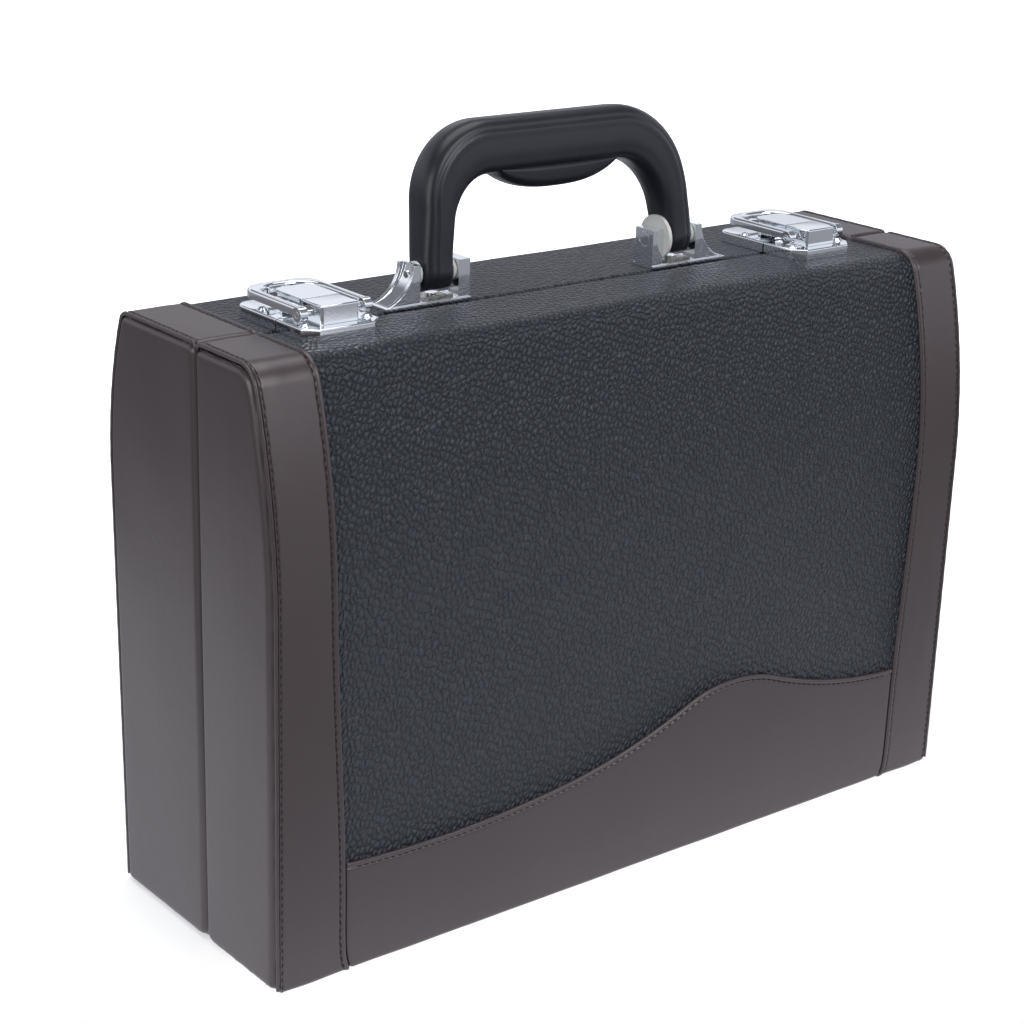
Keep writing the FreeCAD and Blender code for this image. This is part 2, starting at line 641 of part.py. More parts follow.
def latch_plate(side_name, end):
    """Raised front plate of a latch, on the lid."""
    body = new_body(side_name + "_latch_plate")

    def outline(wall):
        wide = "(latch_half_width - %s)" % wall
        front = "(0 - latch_plate_reach + %s)" % wall
        rear = "(0 - plate_seam_gap - %s)" % wall
        slant = "(%s * tan(plate_cut_angle / 2))" % wall
        turn = "(%s + latch_plate_cut - %s)" % (front, slant)
        narrow = "(%s - latch_plate_cut + %s)" % (wide, slant)
        return [("-1 * " + wide, rear), ("-1 * " + wide, turn), ("-1 * " + narrow, front), (narrow, front),
                (wide, turn), (wide, rear)]
    tray(body, outline("0"), outline("plate_wall"))
    half_wide = "(housing_half_width - housing_side_wall)"
    window = box_points("-1 * " + half_wide, half_wide, "(housing_wall - housing_front)",
                        "(0 - plate_seam_gap - plate_wall)")
    pocket(body, draw(new_sketch(body, "XY_Plane"), window), "(plate_height + overrun)", back=True)
    rivet_holes(body, "(0 - rivet_along)")
    set_on_top(body, end)
    return body


def keeper_plate(side_name, end):
    """Raised rear plate of a latch, on the base, with the ridge that the hook grips."""
    body = new_body(side_name + "_keeper_plate")

    def outline(wall):
        wide = "(latch_half_width - %s)" % wall
        rear = "(keeper_reach - %s)" % wall
        near = "(plate_seam_gap + %s)" % wall
        turn = ("(keeper_round - %s)" % wall, 1)
        return [("-1 * " + wide, near), (wide, near), (wide, "(keeper_reach - keeper_round)", turn),
                ("(latch_half_width - keeper_round)", rear),
                ("(keeper_round - latch_half_width)", rear, turn),
                ("-1 * " + wide, "(keeper_reach - keeper_round)")]
    tray(body, outline("0"), outline("plate_wall"))
    ridge_rear = "(hook_reach - lip_thick - ridge_clearance)"
    ridge = box_points("(0 - lip_half_width)", "lip_half_width", "(%s - ridge_thick)" % ridge_rear,
                       ridge_rear)
    pad(body, draw(new_sketch(body, "XY_Plane", "(plate_height - plate_wall)"), ridge),
        "(plate_wall + ridge_height)")
    rivet_holes(body, "rivet_along")
    set_on_top(body, end)
    return body


def rivets(name, along):
    """Round-headed rivets through a pair of plates into the shell."""
    shapes = []
    for side_name, end in SIDES:
        for across in (-1, 1):
            x = "(latch_shift + %d * case_length * latch_place_share + %d * rivet_across)" % (end, across)
            tag = "%s_%s_%d" % (name, side_name, (across + 1) // 2)
            shank = cylinder(tag + "_shank", "rivet_radius", "(plate_height + rivet_length)",
                             (x, along, "(%s - rivet_length)" % TOP))
            head = doc.addObject("Part::Cone", tag + "_head")
            bind(head, "Radius1", "rivet_head_radius")
            bind(head, "Radius2", "rivet_radius")
            bind(head, "Height", "rivet_head_height")
            for letter, text in zip("xyz", (x, along, "(%s + plate_height)" % TOP)):
                bind(head, ".Placement.Base." + letter, text)
            shapes.append(union(tag, [shank, head]))
    return group(name, shapes)


def latch_housing(side_name, end):
    """Cover over the crank, open to the rear for the hook."""
    body = new_body(side_name + "_latch_housing")
    wide, front, rear = "housing_half_width", "(0 - housing_front)", "(0 - housing_rear)"
    narrow, turn = "(%s - housing_cut)" % wide, "(%s + housing_cut)" % front
    outline = [("-1 * " + wide, rear), ("-1 * " + wide, turn), ("-1 * " + narrow, front), (narrow, front),
               (wide, turn), (wide, rear)]
    pad(body, draw(new_sketch(body, "XY_Plane", "plate_height"), outline), "housing_height")
    fillet_faces(body, "housing_fillet", flat_at(2, number("plate_height + housing_height")))
    in_wide = "(%s - housing_side_wall)" % wide
    inside = box_points("-1 * " + in_wide, in_wide, "(%s + housing_wall)" % front, "(%s + overrun)" % rear)
    pocket(body, draw(new_sketch(body, "XY_Plane", "plate_height"), inside),
           "(housing_height - housing_wall)", back=True)
    bore = circle(new_sketch(body, "YZ_Plane"), "(0 - crank_axis_back)", "crank_axis_height",
                  "(journal_radius + run_clearance)")
    pocket(body, bore, "(2 * housing_half_width + 2 * overrun)", "Symmetric")
    set_on_top(body, end)
    return body


CRANK_Y = "(0 - crank_axis_back)"
LINK_Y = "(crank_throw * cos(crank_angle) - crank_axis_back)"
LINK_Z = "(crank_axis_height + crank_throw * sin(crank_angle))"
WEB_OUT = "(housing_half_width - housing_side_wall - side_clearance)"
WEB_IN = "(%s - crank_web)" % WEB_OUT


def latch_bail(side_name, end):
    """Cast U-shaped lever with a lug at the end of each arm."""
    body = new_body(side_name + "_latch_bail")
    wide, inner = "bail_half_width", "(bail_half_width - bail_arm)"
    rear, bar = "bail_reach", "(bail_reach - bail_bar)"
    front = CRANK_Y
    outline = [("-1 * " + wide, front), ("-1 * " + inner, front),
               ("-1 * " + inner, "(%s - bail_inner_round)" % bar, ("bail_inner_round", -1)),
               ("(0 - %s + bail_inner_round)" % inner, bar), ("(%s - bail_inner_round)" % inner, bar,
                                                              ("bail_inner_round", -1)),
               (inner, "(%s - bail_inner_round)" % bar), (inner, front), (wide, front),
               (wide, "(%s - bail_outer_round)" % rear, ("bail_outer_round", 1)),
               ("(%s - bail_outer_round)" % wide, rear), ("(bail_outer_round - %s)" % wide, rear,
                                                          ("bail_outer_round", 1)),
               ("-1 * " + wide, "(%s - bail_outer_round)" % rear)]
    low = "(crank_axis_height + bail_lug_radius - bail_thick)"
    pad(body, draw(new_sketch(body, "XY_Plane", low), outline), "bail_thick")
    fillet_faces(body, "bail_fillet", flat_at(2, number("crank_axis_height + bail_lug_radius")))
    for arm in (-1, 1):
        lug = circle(new_sketch(body, "YZ_Plane", "%d * %s" % (arm, inner)), CRANK_Y, "crank_axis_height",
                     "bail_lug_radius")
        pad(body, lug, "bail_arm", back=arm < 0)
    bore = circle(new_sketch(body, "YZ_Plane"), CRANK_Y, "crank_axis_height", "journal_radius")
    pocket(body, bore, "(2 * bail_half_width + overrun)", "Symmetric")
    set_on_top(body, end)
    return body


def latch_cranks(side_name, end):
    """Two stub cranks that carry the bail outside the housing and the link pin inside it."""
    shapes = []
    for arm_name, arm in SIDES:
        tag = "%s_%s_crank" % (side_name, arm_name)
        start = "(%d * bail_half_width)" % arm if arm < 0 else WEB_IN
        journal = cylinder(tag + "_journal", "journal_radius", "(bail_half_width - %s)" % WEB_IN,
                           (start, CRANK_Y, "crank_axis_height"), "x")
        web_start = "(0 - %s)" % WEB_OUT if arm < 0 else WEB_IN
        hub = cylinder(tag + "_hub", "(journal_radius + knuckle_wall)", "crank_web",
                       (web_start, CRANK_Y, "crank_axis_height"), "x")
        eye = cylinder(tag + "_eye", "(link_pin_radius + knuckle_wall)", "crank_web",
                       (web_start, LINK_Y, LINK_Z), "x")
        hole = cylinder(tag + "_hole", "link_pin_radius", "crank_web", (web_start, LINK_Y, LINK_Z), "x")
        shapes.append(cut(tag, union(tag + "_solid", [journal, hub, eye]), hole))
    node = group(side_name + "_latch_cranks", shapes)
    set_on_top(node, end)
    return node


def link_pin(side_name, end):
    """Pin that carries the hook between the two cranks."""
    pin = cylinder(side_name + "_latch_link_pin_rod", "link_pin_radius", "(2 * %s)" % WEB_OUT,
                   ("(0 - %s)" % WEB_OUT, LINK_Y, LINK_Z), "x")
    node = group(side_name + "_latch_link_pin", [pin])
    set_on_top(node, end)
    return node


def latch_hook(side_name, end):
    """Hook: knuckle on the link pin, strip under the housing, cap behind it and lip behind the ridge."""
    body = new_body(side_name + "_latch_hook")
    top = "(plate_height + housing_height)"
    strip_half = "(%s - side_clearance)" % WEB_IN
    cap_front = "(hook_gap - housing_rear)"
    cap_low = "(%s - hook_cap_thick)" % top
    strip_low = "(%s - hook_strip_thick)" % cap_low
    knuckle = "(link_pin_radius + run_clearance + knuckle_wall)"
    pad(body, circle(new_sketch(body, "YZ_Plane"), LINK_Y, LINK_Z, knuckle), "2 * " + strip_half, "Symmetric")
    strip = [("(%s - %s)" % (LINK_Y, knuckle), LINK_Z), ("(%s + %s)" % (LINK_Y, knuckle), LINK_Z),
             ("(%s + %s)" % (LINK_Y, knuckle), strip_low), ("0", strip_low), ("0", cap_low),
             ("(%s - %s)" % (LINK_Y, knuckle), cap_low)]
    pad(body, draw(new_sketch(body, "YZ_Plane"), strip), "2 * " + strip_half, "Symmetric")
    wide, rear = "housing_half_width", "hook_reach"
    cap = [("-1 * " + wide, cap_front), (wide, cap_front), (wide, "(%s - hook_corner)" % rear,
                                                            ("hook_corner", 1)),
           ("(%s - hook_corner)" % wide, rear), ("(hook_corner - %s)" % wide, rear, ("hook_corner", 1)),
           ("-1 * " + wide, "(%s - hook_corner)" % rear)]
    pad(body, draw(new_sketch(body, "XY_Plane", cap_low), cap), "hook_cap_thick")
    for side in (-1, 1):
        outer, inner = "%d * %s" % (side, wide), "%d * (%s - hook_flange_wall)" % (side, wide)
        flange = box_points(*((outer, inner) if side < 0 else (inner, outer)), cap_front,
                            "(%s - hook_corner)" % rear)
        pad(body, draw(new_sketch(body, "XY_Plane", "(%s - hook_flange)" % top), flange), "hook_flange")
    lip = box_points("(%s - lip_thick)" % rear, rear, "(plate_height + lip_floor_gap)", cap_low)
    lip_half = "(%s - hook_corner)" % wide
    pad(body, draw(new_sketch(body, "YZ_Plane"), lip), "2 * " + lip_half, "Symmetric")
    bore = circle(new_sketch(body, "YZ_Plane"), LINK_Y, LINK_Z, "(link_pin_radius + run_clearance)")
    pocket(body, bore, "(2 * %s + overrun)" % strip_half, "Symmetric")
    set_on_top(body, end)
    return body


# Handle, its mounts and its pivots

HANDLE_HALF = "(case_length * handle_width_share)"
PAD_HALF = "(%s * pad_length_share)" % HANDLE_HALF
LEG_IN = "(case_length * handle_width_share - leg_width)"
POST_IN = "(%s - washer_thick - 2 * washer_clearance)" % LEG_IN
POST_OUT = "(case_length * handle_width_share + washer_thick + 2 * washer_clearance)"


def set_at_pivot(body, turned=True):
    """Place a handle piece, drawn about the pivot axis."""
    bind(body, ".Placement.Base.x", "handle_shift")
    bind(body, ".Placement.Base.y", "(%s + pivot_back)" % SEAM_Y)
    bind(body, ".Placement.Base.z", "(%s + pivot_height)" % TOP)
    if turned:
        body.Placement.Rotation = Rotation(Vector(1, 0, 0), -number("handle_lean"))


def handle_grip():
    """Moulded handle: flat-topped arch with rounded edges and tapered, rounded leg ends."""
    body = new_body("handle_grip")
    low = "(0 - leg_end_radius - overrun)"
    under = "(handle_top - grip_height)"
    out, into = HANDLE_HALF, LEG_IN
    r_out, r_in = "handle_outer_round", "handle_inner_round"
    shoulder = "(handle_top - %s)" % r_out
    outline = [(out, low), (out, shoulder, (r_out, 1)), ("(%s - %s)" % (out, r_out), "handle_top"),
               ("(%s - %s)" % (r_out, out), "handle_top", (r_out, 1)), ("-1 * " + out, shoulder),
               ("-1 * " + out, low), ("-1 * " + into, low),
               ("-1 * " + into, "(%s - %s)" % (under, r_in), (r_in, -1)),
               ("(%s - %s)" % (r_in, into), under), ("(%s - %s)" % (into, r_in), under, (r_in, -1)),
               (into, "(%s - %s)" % (under, r_in)), (into, low)]
    pad(body, draw(new_sketch(body, "XZ_Plane"), outline), "handle_thick", "Symmetric")
    half = number("handle_thick / 2")
    fillet_faces(body, "handle_fillet", lambda f: flat_at(1, half)(f) or flat_at(1, -half)(f))
    for side in (-1, 1):
        end, wide = "(%d * leg_end_radius)" % side, "(%d * (handle_thick / 2 + overrun))" % side
        full = "(%d * handle_thick / 2)" % side
        deep = "(0 - leg_end_radius - 2 * overrun)"
        waste = [(end, "0", ("leg_end_radius", -side)), ("0", "(0 - leg_end_radius)"), ("0", deep),
                 (wide, deep), (wide, "leg_taper_height"), (full, "leg_taper_height")]
        pocket(body, draw(new_sketch(body, "YZ_Plane"), waste), "4 * " + HANDLE_HALF, "Symmetric")
    bore = circle(new_sketch(body, "YZ_Plane"), "0", "0", "bush_radius")
    pocket(body, bore, "4 * " + HANDLE_HALF, "Symmetric")
    set_at_pivot(body)
    return body


def finger_pad():
    """Bulged pad under the grip."""
    body = new_body("handle_finger_pad")
    under = "(handle_top - grip_height)"
    half = PAD_HALF
    flat = "(%s * pad_flat_share)" % half
    knee = "(%s * pad_knee_share)" % half
    knee_z = "(%s - pad_drop * pad_knee_drop_share)" % under
    run = [("-1 * " + half, under), ("-1 * " + knee, knee_z), ("-1 * " + flat, "(%s - pad_drop)" % under),
           (flat, "(%s - pad_drop)" % under), (knee, knee_z), (half, under)]
    pad(body, draw(new_sketch(body, "XZ_Plane"), run), "(2 * pad_half_thick)", "Symmetric")
    wide = number("pad_half_thick")
    fillet_faces(body, "pad_fillet", lambda f: f.BoundBox.ZMax < number(under) + TOUCH
                 and f.BoundBox.ZMin < number(under) - TOUCH and f.BoundBox.YLength > wide)
    set_at_pivot(body)
    return body


def handle_bushes():
    """Steel sleeves through the two legs."""
    shapes = []
    for side_name, end in SIDES:
        start = "(0 - %s)" % HANDLE_HALF if end < 0 else LEG_IN
        outer = cylinder(side_name + "_bush_outer", "bush_radius", "leg_width", (start, "0", "0"), "x")
        inner = cylinder(side_name + "_bush_inner", "(pivot_radius + run_clearance)", "leg_width",
                         (start, "0", "0"), "x")
        shapes.append(cut(side_name + "_bush", outer, inner))
    node = group("handle_bushes", shapes)
    set_at_pivot(node)
    return node


def pivot_screws():
    """Screws on which the handle turns, from the inner post into the outer post."""
    shapes = []
    for side_name, end in SIDES:
        head_out = "(%s - inner_post)" % POST_IN
        reach = "(%s + outer_post - %s)" % (POST_OUT, head_out)
        start = head_out if end > 0 else "(0 - %s - %s)" % (head_out, reach)
        shank = cylinder(side_name + "_pivot_shank", "pivot_radius", reach, (start, "0", "0"), "x")
        head_start = head_out if end > 0 else "(0 - %s - pivot_head_depth)" % head_out
        head = cylinder(side_name + "_pivot_head", "pivot_head_radius", "pivot_head_depth",
                        (head_start, "0", "0"), "x")
        shapes.append(union(side_name + "_pivot_screw", [shank, head]))
    node = group("handle_pivot_screws", shapes)
    set_at_pivot(node, turned=False)
    return node


def washers():
    """Nylon washers on both sides of each leg, with a large one at the right inner post."""
    shapes = []
    for side_name, end in SIDES:
        inner_radius = "big_washer_radius" if end > 0 else "small_washer_radius"
        for label, radius, face in (("inner", inner_radius, POST_IN),
                                    ("outer", "small_washer_radius", HANDLE_HALF)):
            near = "(%s + washer_clearance)" % face
            start = near if end > 0 else "(0 - %s - washer_thick)" % near
            tag = "%s_%s_washer" % (side_name, label)
            disc = cylinder(tag + "_disc", radius, "washer_thick", (start, "0", "0"), "x")
            hole = cylinder(tag + "_hole", "(pivot_radius + run_clearance)", "washer_thick",
                            (start, "0", "0"), "x")
            shapes.append(cut(tag, disc, hole))
    node = group("handle_washers", shapes)
    set_at_pivot(node, turned=False)
    return node


def handle_mount(side_name, end):
    """Cast mount: floor, inner post, outer post and a flared tail with a trough."""
    body = new_body(side_name + "_handle_mount")
    start, gap_in, gap_out = "(%s - inner_post)" % POST_IN, POST_IN, POST_OUT
    top_out = "(%s + outer_post)" % POST_OUT
    tail = "(%s + mount_tail)" % top_out
    flare_low = ("(%s - tail_thick)" % tail, "tail_thick")
    outline = [(start, "0"), (tail, "0"), (tail, "tail_thick"), (*flare_low, ("flare_radius", -1)),
               (top_out, "post_height"), (gap_out, "post_height"), (gap_out, "mount_floor"),
               (gap_in, "mount_floor"), (gap_in, "post_height"), (start, "post_height")]
    pad(body, draw(new_sketch(body, "XZ_Plane"), outline), "(2 * mount_half_width)", "Symmetric")
    foot = box_points(start, tail, "(0 - mount_half_width - mount_foot)", "(mount_half_width + mount_foot)")
    pad(body, draw(new_sketch(body, "XY_Plane"), foot), "tail_thick")
    trough_x = "(%s - trough_depth)" % top_out
    waste = [(flare_low[0], "tail_thick", ("(flare_radius + trough_depth)", -1)), (trough_x, "post_height"),
             ("(%s + overrun)" % tail, "post_height"), ("(%s + overrun)" % tail, "tail_thick")]
    pocket(body, draw(new_sketch(body, "XZ_Plane"), waste), "2 * (mount_half_width - trough_rim)",
           "Symmetric")
    bore = circle(new_sketch(body, "YZ_Plane"), "0", "pivot_height", "pivot_radius")
    pocket(body, bore, "4 * " + HANDLE_HALF, "Symmetric")
    seat = circle(new_sketch(body, "YZ_Plane", start), "0", "pivot_height", "pivot_head_radius")
    pocket(body, seat, "pivot_head_depth", back=True)
    holes = new_sketch(body, "XY_Plane")
    circle(holes, MOUNT_SCREW_X, "0", "mount_screw_radius")
    pocket(body, holes, "(mount_floor + overrun)", back=True)
    bind(body, ".Placement.Base.x", "handle_shift")
    bind(body, ".Placement.Base.y", "(%s + pivot_back)" % SEAM_Y)
    bind(body, ".Placement.Base.z", TOP)
    if end < 0:
        body.Placement.Rotation = Rotation(Vector(0, 0, 1), 180)
    return body


MOUNT_SCREW_X = "(case_length * handle_width_share - leg_width / 2)"


def friction_springs():
    """Leaf springs under the leg ends, bent up at the front."""
    shapes = []
    for side_name, end in SIDES:
        body = doc.addObject("PartDesign::Body", side_name + "_friction_leaf")
        low, high = "mount_floor", "(mount_floor + spring_thick)"
        front, rear = "(0 - spring_half_length)", "spring_half_length"
        bent = "(%s - spring_thick)" % front
        raised = "(%s + spring_upstand)" % low
        outline = [(bent, low), (rear, low), (rear, high), (front, high), (front, raised), (bent, raised)]
        middle = "%d * %s" % (end, MOUNT_SCREW_X)
        pad(body, draw(new_sketch(body, "YZ_Plane", middle), outline), "spring_width", "Symmetric")
        hole = circle(new_sketch(body, "XY_Plane", low), middle, "0", "mount_screw_radius")
        pocket(body, hole, "(spring_thick + overrun)", back=True)
        shapes.append(body)
    node = group("handle_friction_springs", shapes)
    bind(node, ".Placement.Base.x", "handle_shift")
    bind(node, ".Placement.Base.y", "(%s + pivot_back)" % SEAM_Y)
    bind(node, ".Placement.Base.z", TOP)
    return node


def hinge_axis_circle(sketch, radius):
    return circle(sketch, "0", "hinge_axis_height", radius)


def hinge_leaf(half, side_name, end):
    """Cranked hinge leaf: knuckles at the seam, a plate against the rim and a flange inside the shell."""
    body = new_body("%s_%s_hinge_leaf" % (side_name, half.name))
    near = "(%s - hinge_leaf)" % SHELL_SEAM
    inner = INNER
    high = "(%s + hinge_leaf)" % INNER
    outline = half.signed([(near, "hinge_axis_height"), (SHELL_SEAM, "hinge_axis_height"),
                           (SHELL_SEAM, inner), ("hinge_flange_reach", inner),
                           ("hinge_flange_reach", high), (near, high)])
    pad(body, draw(new_sketch(body, "YZ_Plane"), outline), "hinge_length", "Symmetric")
    third = "(hinge_length / 3)"
    stations = (-1, 1) if half.side > 0 else (0,)
    others = (0,) if half.side > 0 else (-1, 1)
    for station in stations:
        ring = hinge_axis_circle(new_sketch(body, "YZ_Plane", "(%d * %s)" % (station, third)),
                                 "hinge_barrel_radius")
        pad(body, ring, "(%s - hinge_gap)" % third, "Symmetric")
    for station in others:
        room = hinge_axis_circle(new_sketch(body, "YZ_Plane", "(%d * %s)" % (station, third)),
                                 "(hinge_barrel_radius + hinge_gap)")
        pocket(body, room, "(%s + hinge_gap)" % third, "Symmetric")
    bore = "hinge_pin_radius" if half.side > 0 else "(hinge_pin_radius + run_clearance)"
    pocket(body, hinge_axis_circle(new_sketch(body, "YZ_Plane"), bore), "(hinge_length + overrun)",
           "Symmetric")
    holes = new_sketch(body, "XY_Plane", inner)
    for station in (-1, 0, 1):
        circle(holes, "(%d * hinge_screw_spacing)" % station, "%d * %s" % (half.side, HINGE_SCREW_Y),
               "hinge_screw_radius")
    pocket(body, holes, "(hinge_leaf + overrun)", back=True)
    bind(body, ".Placement.Base.x", "%d * case_length * hinge_place_share" % end)
    return body


HINGE_SCREW_Y = "(hinge_flange_reach - hinge_screw_head_radius - hinge_leaf)"


def hinge_screws(half):
    """Screws of both leaves of one half, into the bottom wall of the shell."""
    shapes = []
    for side_name, end in SIDES:
        for station in (-1, 0, 1):
            x = "(%d * case_length * hinge_place_share + %d * hinge_screw_spacing)" % (end, station)
            y = "%d * %s" % (half.side, HINGE_SCREW_Y)
            tag = "%s_%s_hinge_screw_%d" % (half.name, side_name, station + 1)
            seat = "(%s + hinge_leaf)" % INNER
            shank = cylinder(tag + "_shank", "hinge_screw_radius", "hinge_screw_length",
                             (x, y, "(%s - hinge_screw_length)" % seat))
            head = cylinder(tag + "_head", "hinge_screw_head_radius", "hinge_screw_head_height", (x, y, seat))
            shapes.append(union(tag, [shank, head]))
    return group(half.name + "_hinge_screws", shapes)


def hinge_pins():
    shapes = []
    for side_name, end in SIDES:
        start = "(%d * case_length * hinge_place_share - hinge_length / 2)" % end
        shapes.append(cylinder(side_name + "_hinge_rod", "hinge_pin_radius", "hinge_length",
                               (start, "0", "hinge_axis_height"), "x"))
    return group("hinge_pins", shapes)


def mount_screws():
    """Screws that hold the handle mounts to the base shell."""
    shapes = []
    for side_name, end in SIDES:
        x = "(handle_shift + %d * %s)" % (end, MOUNT_SCREW_X)
        seat = "(%s + mount_floor + spring_thick)" % TOP
        shank = cylinder(side_name + "_mount_screw_shank", "mount_screw_radius", "mount_screw_length",
                         (x, "pivot_back", "(%s - mount_screw_length)" % seat))
        head = cylinder(side_name + "_mount_screw_head", "mount_screw_head_radius", "mount_screw_head_height",
                        (x, "pivot_back", seat))
        shapes.append(union(side_name + "_mount_screw", [shank, head]))
    return group("handle_mount_screws", shapes)


def drill(body, places, radius, low, length):
    """Holes along Z through a skin or into a shell, seat by seat."""
    sketch = new_sketch(body, "XY_Plane", low)
    for x, y in places:
        circle(sketch, x, y, radius)
    return pocket(body, sketch, length, back=True)


def main():
    halves = {}
    for half in (LID, BASE):
        halves[half.name] = (shell(half), cover(half))
        for end_name, end in SIDES:
            wrap(half, end_name, end)
            end_panel(half, end_name, end)
            bead(half, end_name, end)
    wave_panel()
    tongue()
    insert_block()
    lid_pad()
    for side_name, end in SIDES:
        latch_plate(side_name, end)
        keeper_plate(side_name, end)
        latch_housing(side_name, end)
        latch_bail(side_name, end)
        latch_cranks(side_name, end)
        link_pin(side_name, end)
        latch_hook(side_name, end)
        handle_mount(side_name, end)
        hinge_leaf(LID, side_name, end)
        hinge_leaf(BASE, side_name, end)
    rivets("latch_rivets", "(0 - rivet_along)")
    rivets("keeper_rivets", "rivet_along")
    handle_grip()
    finger_pad()
    handle_bushes()
    pivot_screws()
    washers()
    friction_springs()
    mount_screws()
    hinge_pins()
    hinge_screws(LID)
    hinge_screws(BASE)

    for half, along in ((LID, "(0 - rivet_along)"), (BASE, "rivet_along")):
        body, skin = halves[half.name]
        rivet_x = "(latch_shift + %d * case_length * latch_place_share + %d * rivet_across)"
        places = [(rivet_x % (end, across), along) for end in (-1, 1) for across in (-1, 1)]
        drill(skin, places, "rivet_radius", "(%s - rivet_length)" % TOP, "(rivet_length + overrun)")
        drill(body, places, "rivet_radius", "(%s - rivet_length)" % TOP, "(rivet_length + overrun)")
        screws = [("(%d * case_length * hinge_place_share + %d * hinge_screw_spacing)" % (end, station),
                   "%d * %s" % (half.side, HINGE_SCREW_Y)) for end in (-1, 1) for station in (-1, 0, 1)]
        drill(body, screws, "hinge_screw_radius", "(%s + hinge_leaf - hinge_screw_length)" % INNER,
              "(hinge_screw_length + overrun)")
    body, skin = halves["base"]
    places = [("(handle_shift + %d * %s)" % (end, MOUNT_SCREW_X), "pivot_back") for end in (-1, 1)]
    for piece in (skin, body):
        low = "(%s + mount_floor + spring_thick - mount_screw_length)" % TOP
        drill(piece, places, "mount_screw_radius", low, "(mount_screw_length + overrun)")
    doc.recompute()
    write()


def write():
    """Check every object and write each node."""
    for item in doc.Objects:
        if "Invalid" in item.State or "Error" in item.State:
            raise RuntimeError("%s is not built: %s" % (item.Name, item.State))
    os.makedirs("parts", exist_ok=True)
    for name, item in nodes:
        shape = item.Shape
        if shape.isNull() or not shape.isValid():
            raise RuntimeError("the shape of %s is not valid" % name)
        shape.exportStep("parts/%s.step" % name)
        print("%-28s solids %d volume %.1f" % (name, len(shape.Solids), shape.Volume))


main()
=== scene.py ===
"""Looks of a hard clarinet case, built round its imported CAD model.

Every shape is worked out in millimetres in the frame of the seam between lid and base: X along
the case, Y from the lid (negative) to the base (positive), Z up from the floor. build_mesh moves
a finished shape into the row frame and turns it into metres.
"""

import json
import logging
import math
from dataclasses import dataclass
from enum import Enum

import bmesh
import bpy
import numpy as np
from mathutils import Matrix, Vector

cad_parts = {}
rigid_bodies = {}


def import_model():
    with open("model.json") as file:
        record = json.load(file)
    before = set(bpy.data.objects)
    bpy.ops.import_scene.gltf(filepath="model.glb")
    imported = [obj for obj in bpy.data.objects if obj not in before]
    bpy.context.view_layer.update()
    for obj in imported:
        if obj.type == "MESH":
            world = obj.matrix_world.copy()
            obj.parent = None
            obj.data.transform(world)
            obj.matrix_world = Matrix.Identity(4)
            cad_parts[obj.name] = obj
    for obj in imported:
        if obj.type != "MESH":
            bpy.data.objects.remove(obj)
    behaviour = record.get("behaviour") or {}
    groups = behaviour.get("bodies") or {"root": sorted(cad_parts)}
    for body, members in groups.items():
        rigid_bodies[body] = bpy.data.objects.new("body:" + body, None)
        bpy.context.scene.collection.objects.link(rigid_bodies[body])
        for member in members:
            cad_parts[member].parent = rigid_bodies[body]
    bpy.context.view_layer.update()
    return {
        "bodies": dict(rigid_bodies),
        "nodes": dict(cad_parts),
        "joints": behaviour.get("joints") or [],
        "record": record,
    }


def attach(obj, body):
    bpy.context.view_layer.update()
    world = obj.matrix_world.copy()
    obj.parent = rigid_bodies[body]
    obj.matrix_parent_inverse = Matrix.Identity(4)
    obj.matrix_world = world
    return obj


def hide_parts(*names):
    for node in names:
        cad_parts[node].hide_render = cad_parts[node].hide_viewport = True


log = logging.getLogger("clarinet_case")

# Lengths are in millimetres, and MM turns them into metres.
MM = 0.001
SEAM_Y = -7.2
HEIGHT = 243.0
SHELL_HALF = 176.6
STRIP_OUTER = 177.9
BEAD_X = 178.7
HINGE_PLACES = (-110.0, 110.0)
STITCH_PITCH = 3.2
STITCH_LENGTH = 2.3
THREAD_RADIUS = 0.3
STITCH_DIP = 0.3
GROOVE_WIDTH = 0.34
HEM_WIDTH = 2.3
SKIN_WALL = 0.5


class End(Enum):
    """The two ends of the case along X."""

    LEFT = -1
    RIGHT = 1

    @property
    def word(self) -> str:
        """Name of the end in lower case."""
        return self.name.lower()


@dataclass(frozen=True)
class Half:
    """Side profile sizes of one half, in millimetres, with depth measured from the seam."""

    name: str
    side: int
    depth: float
    foot: float
    bend_height: float
    bend_radius: float
    corner: float
    foot_round: float = 2.6
    relief: float = 4.8
    seam_round: float = 2.5
    lap: float = 4.0


LID = Half("lid", -1, 52.0, 51.0, 150.0, 305.0, 11.0)
BASE = Half("base", 1, 66.4, 63.6, 178.0, 170.0, 5.5)


def ease(share: np.ndarray) -> np.ndarray:
    """Smooth step: three times the square less twice the cube of the clipped share."""
    share = np.clip(share, 0, 1)
    return share * share * (3 - 2 * share)


def strip_inner(end: End, height: np.ndarray) -> np.ndarray:
    """Distance of a strip's inner edge from the middle of the case.

    The strips widen a little towards the floor and flare where they turn under the case.

    Args:
        end: End of the case.
        height: Height over the floor.

    Returns:
        Distances in millimetres.
    """
    low_edge, widening, flare, shift = 149.2, 4.0, 3.0, 0.9
    spread = widening * ease((height - 30) / 130)
    return low_edge + spread - flare * np.exp(-np.clip(height, 0, None) / 4) + shift * end.value


def strip_outer(height: np.ndarray) -> np.ndarray:
    """Distance of a strip's outer edge from the middle of the case, drawn in a little at the floor.

    Args:
        height: Height over the floor.

    Returns:
        Distances in millimetres.
    """
    drawn, fade = 0.8, 1.3
    return STRIP_OUTER - drawn * np.exp(-np.clip(height, 0, None) / fade)


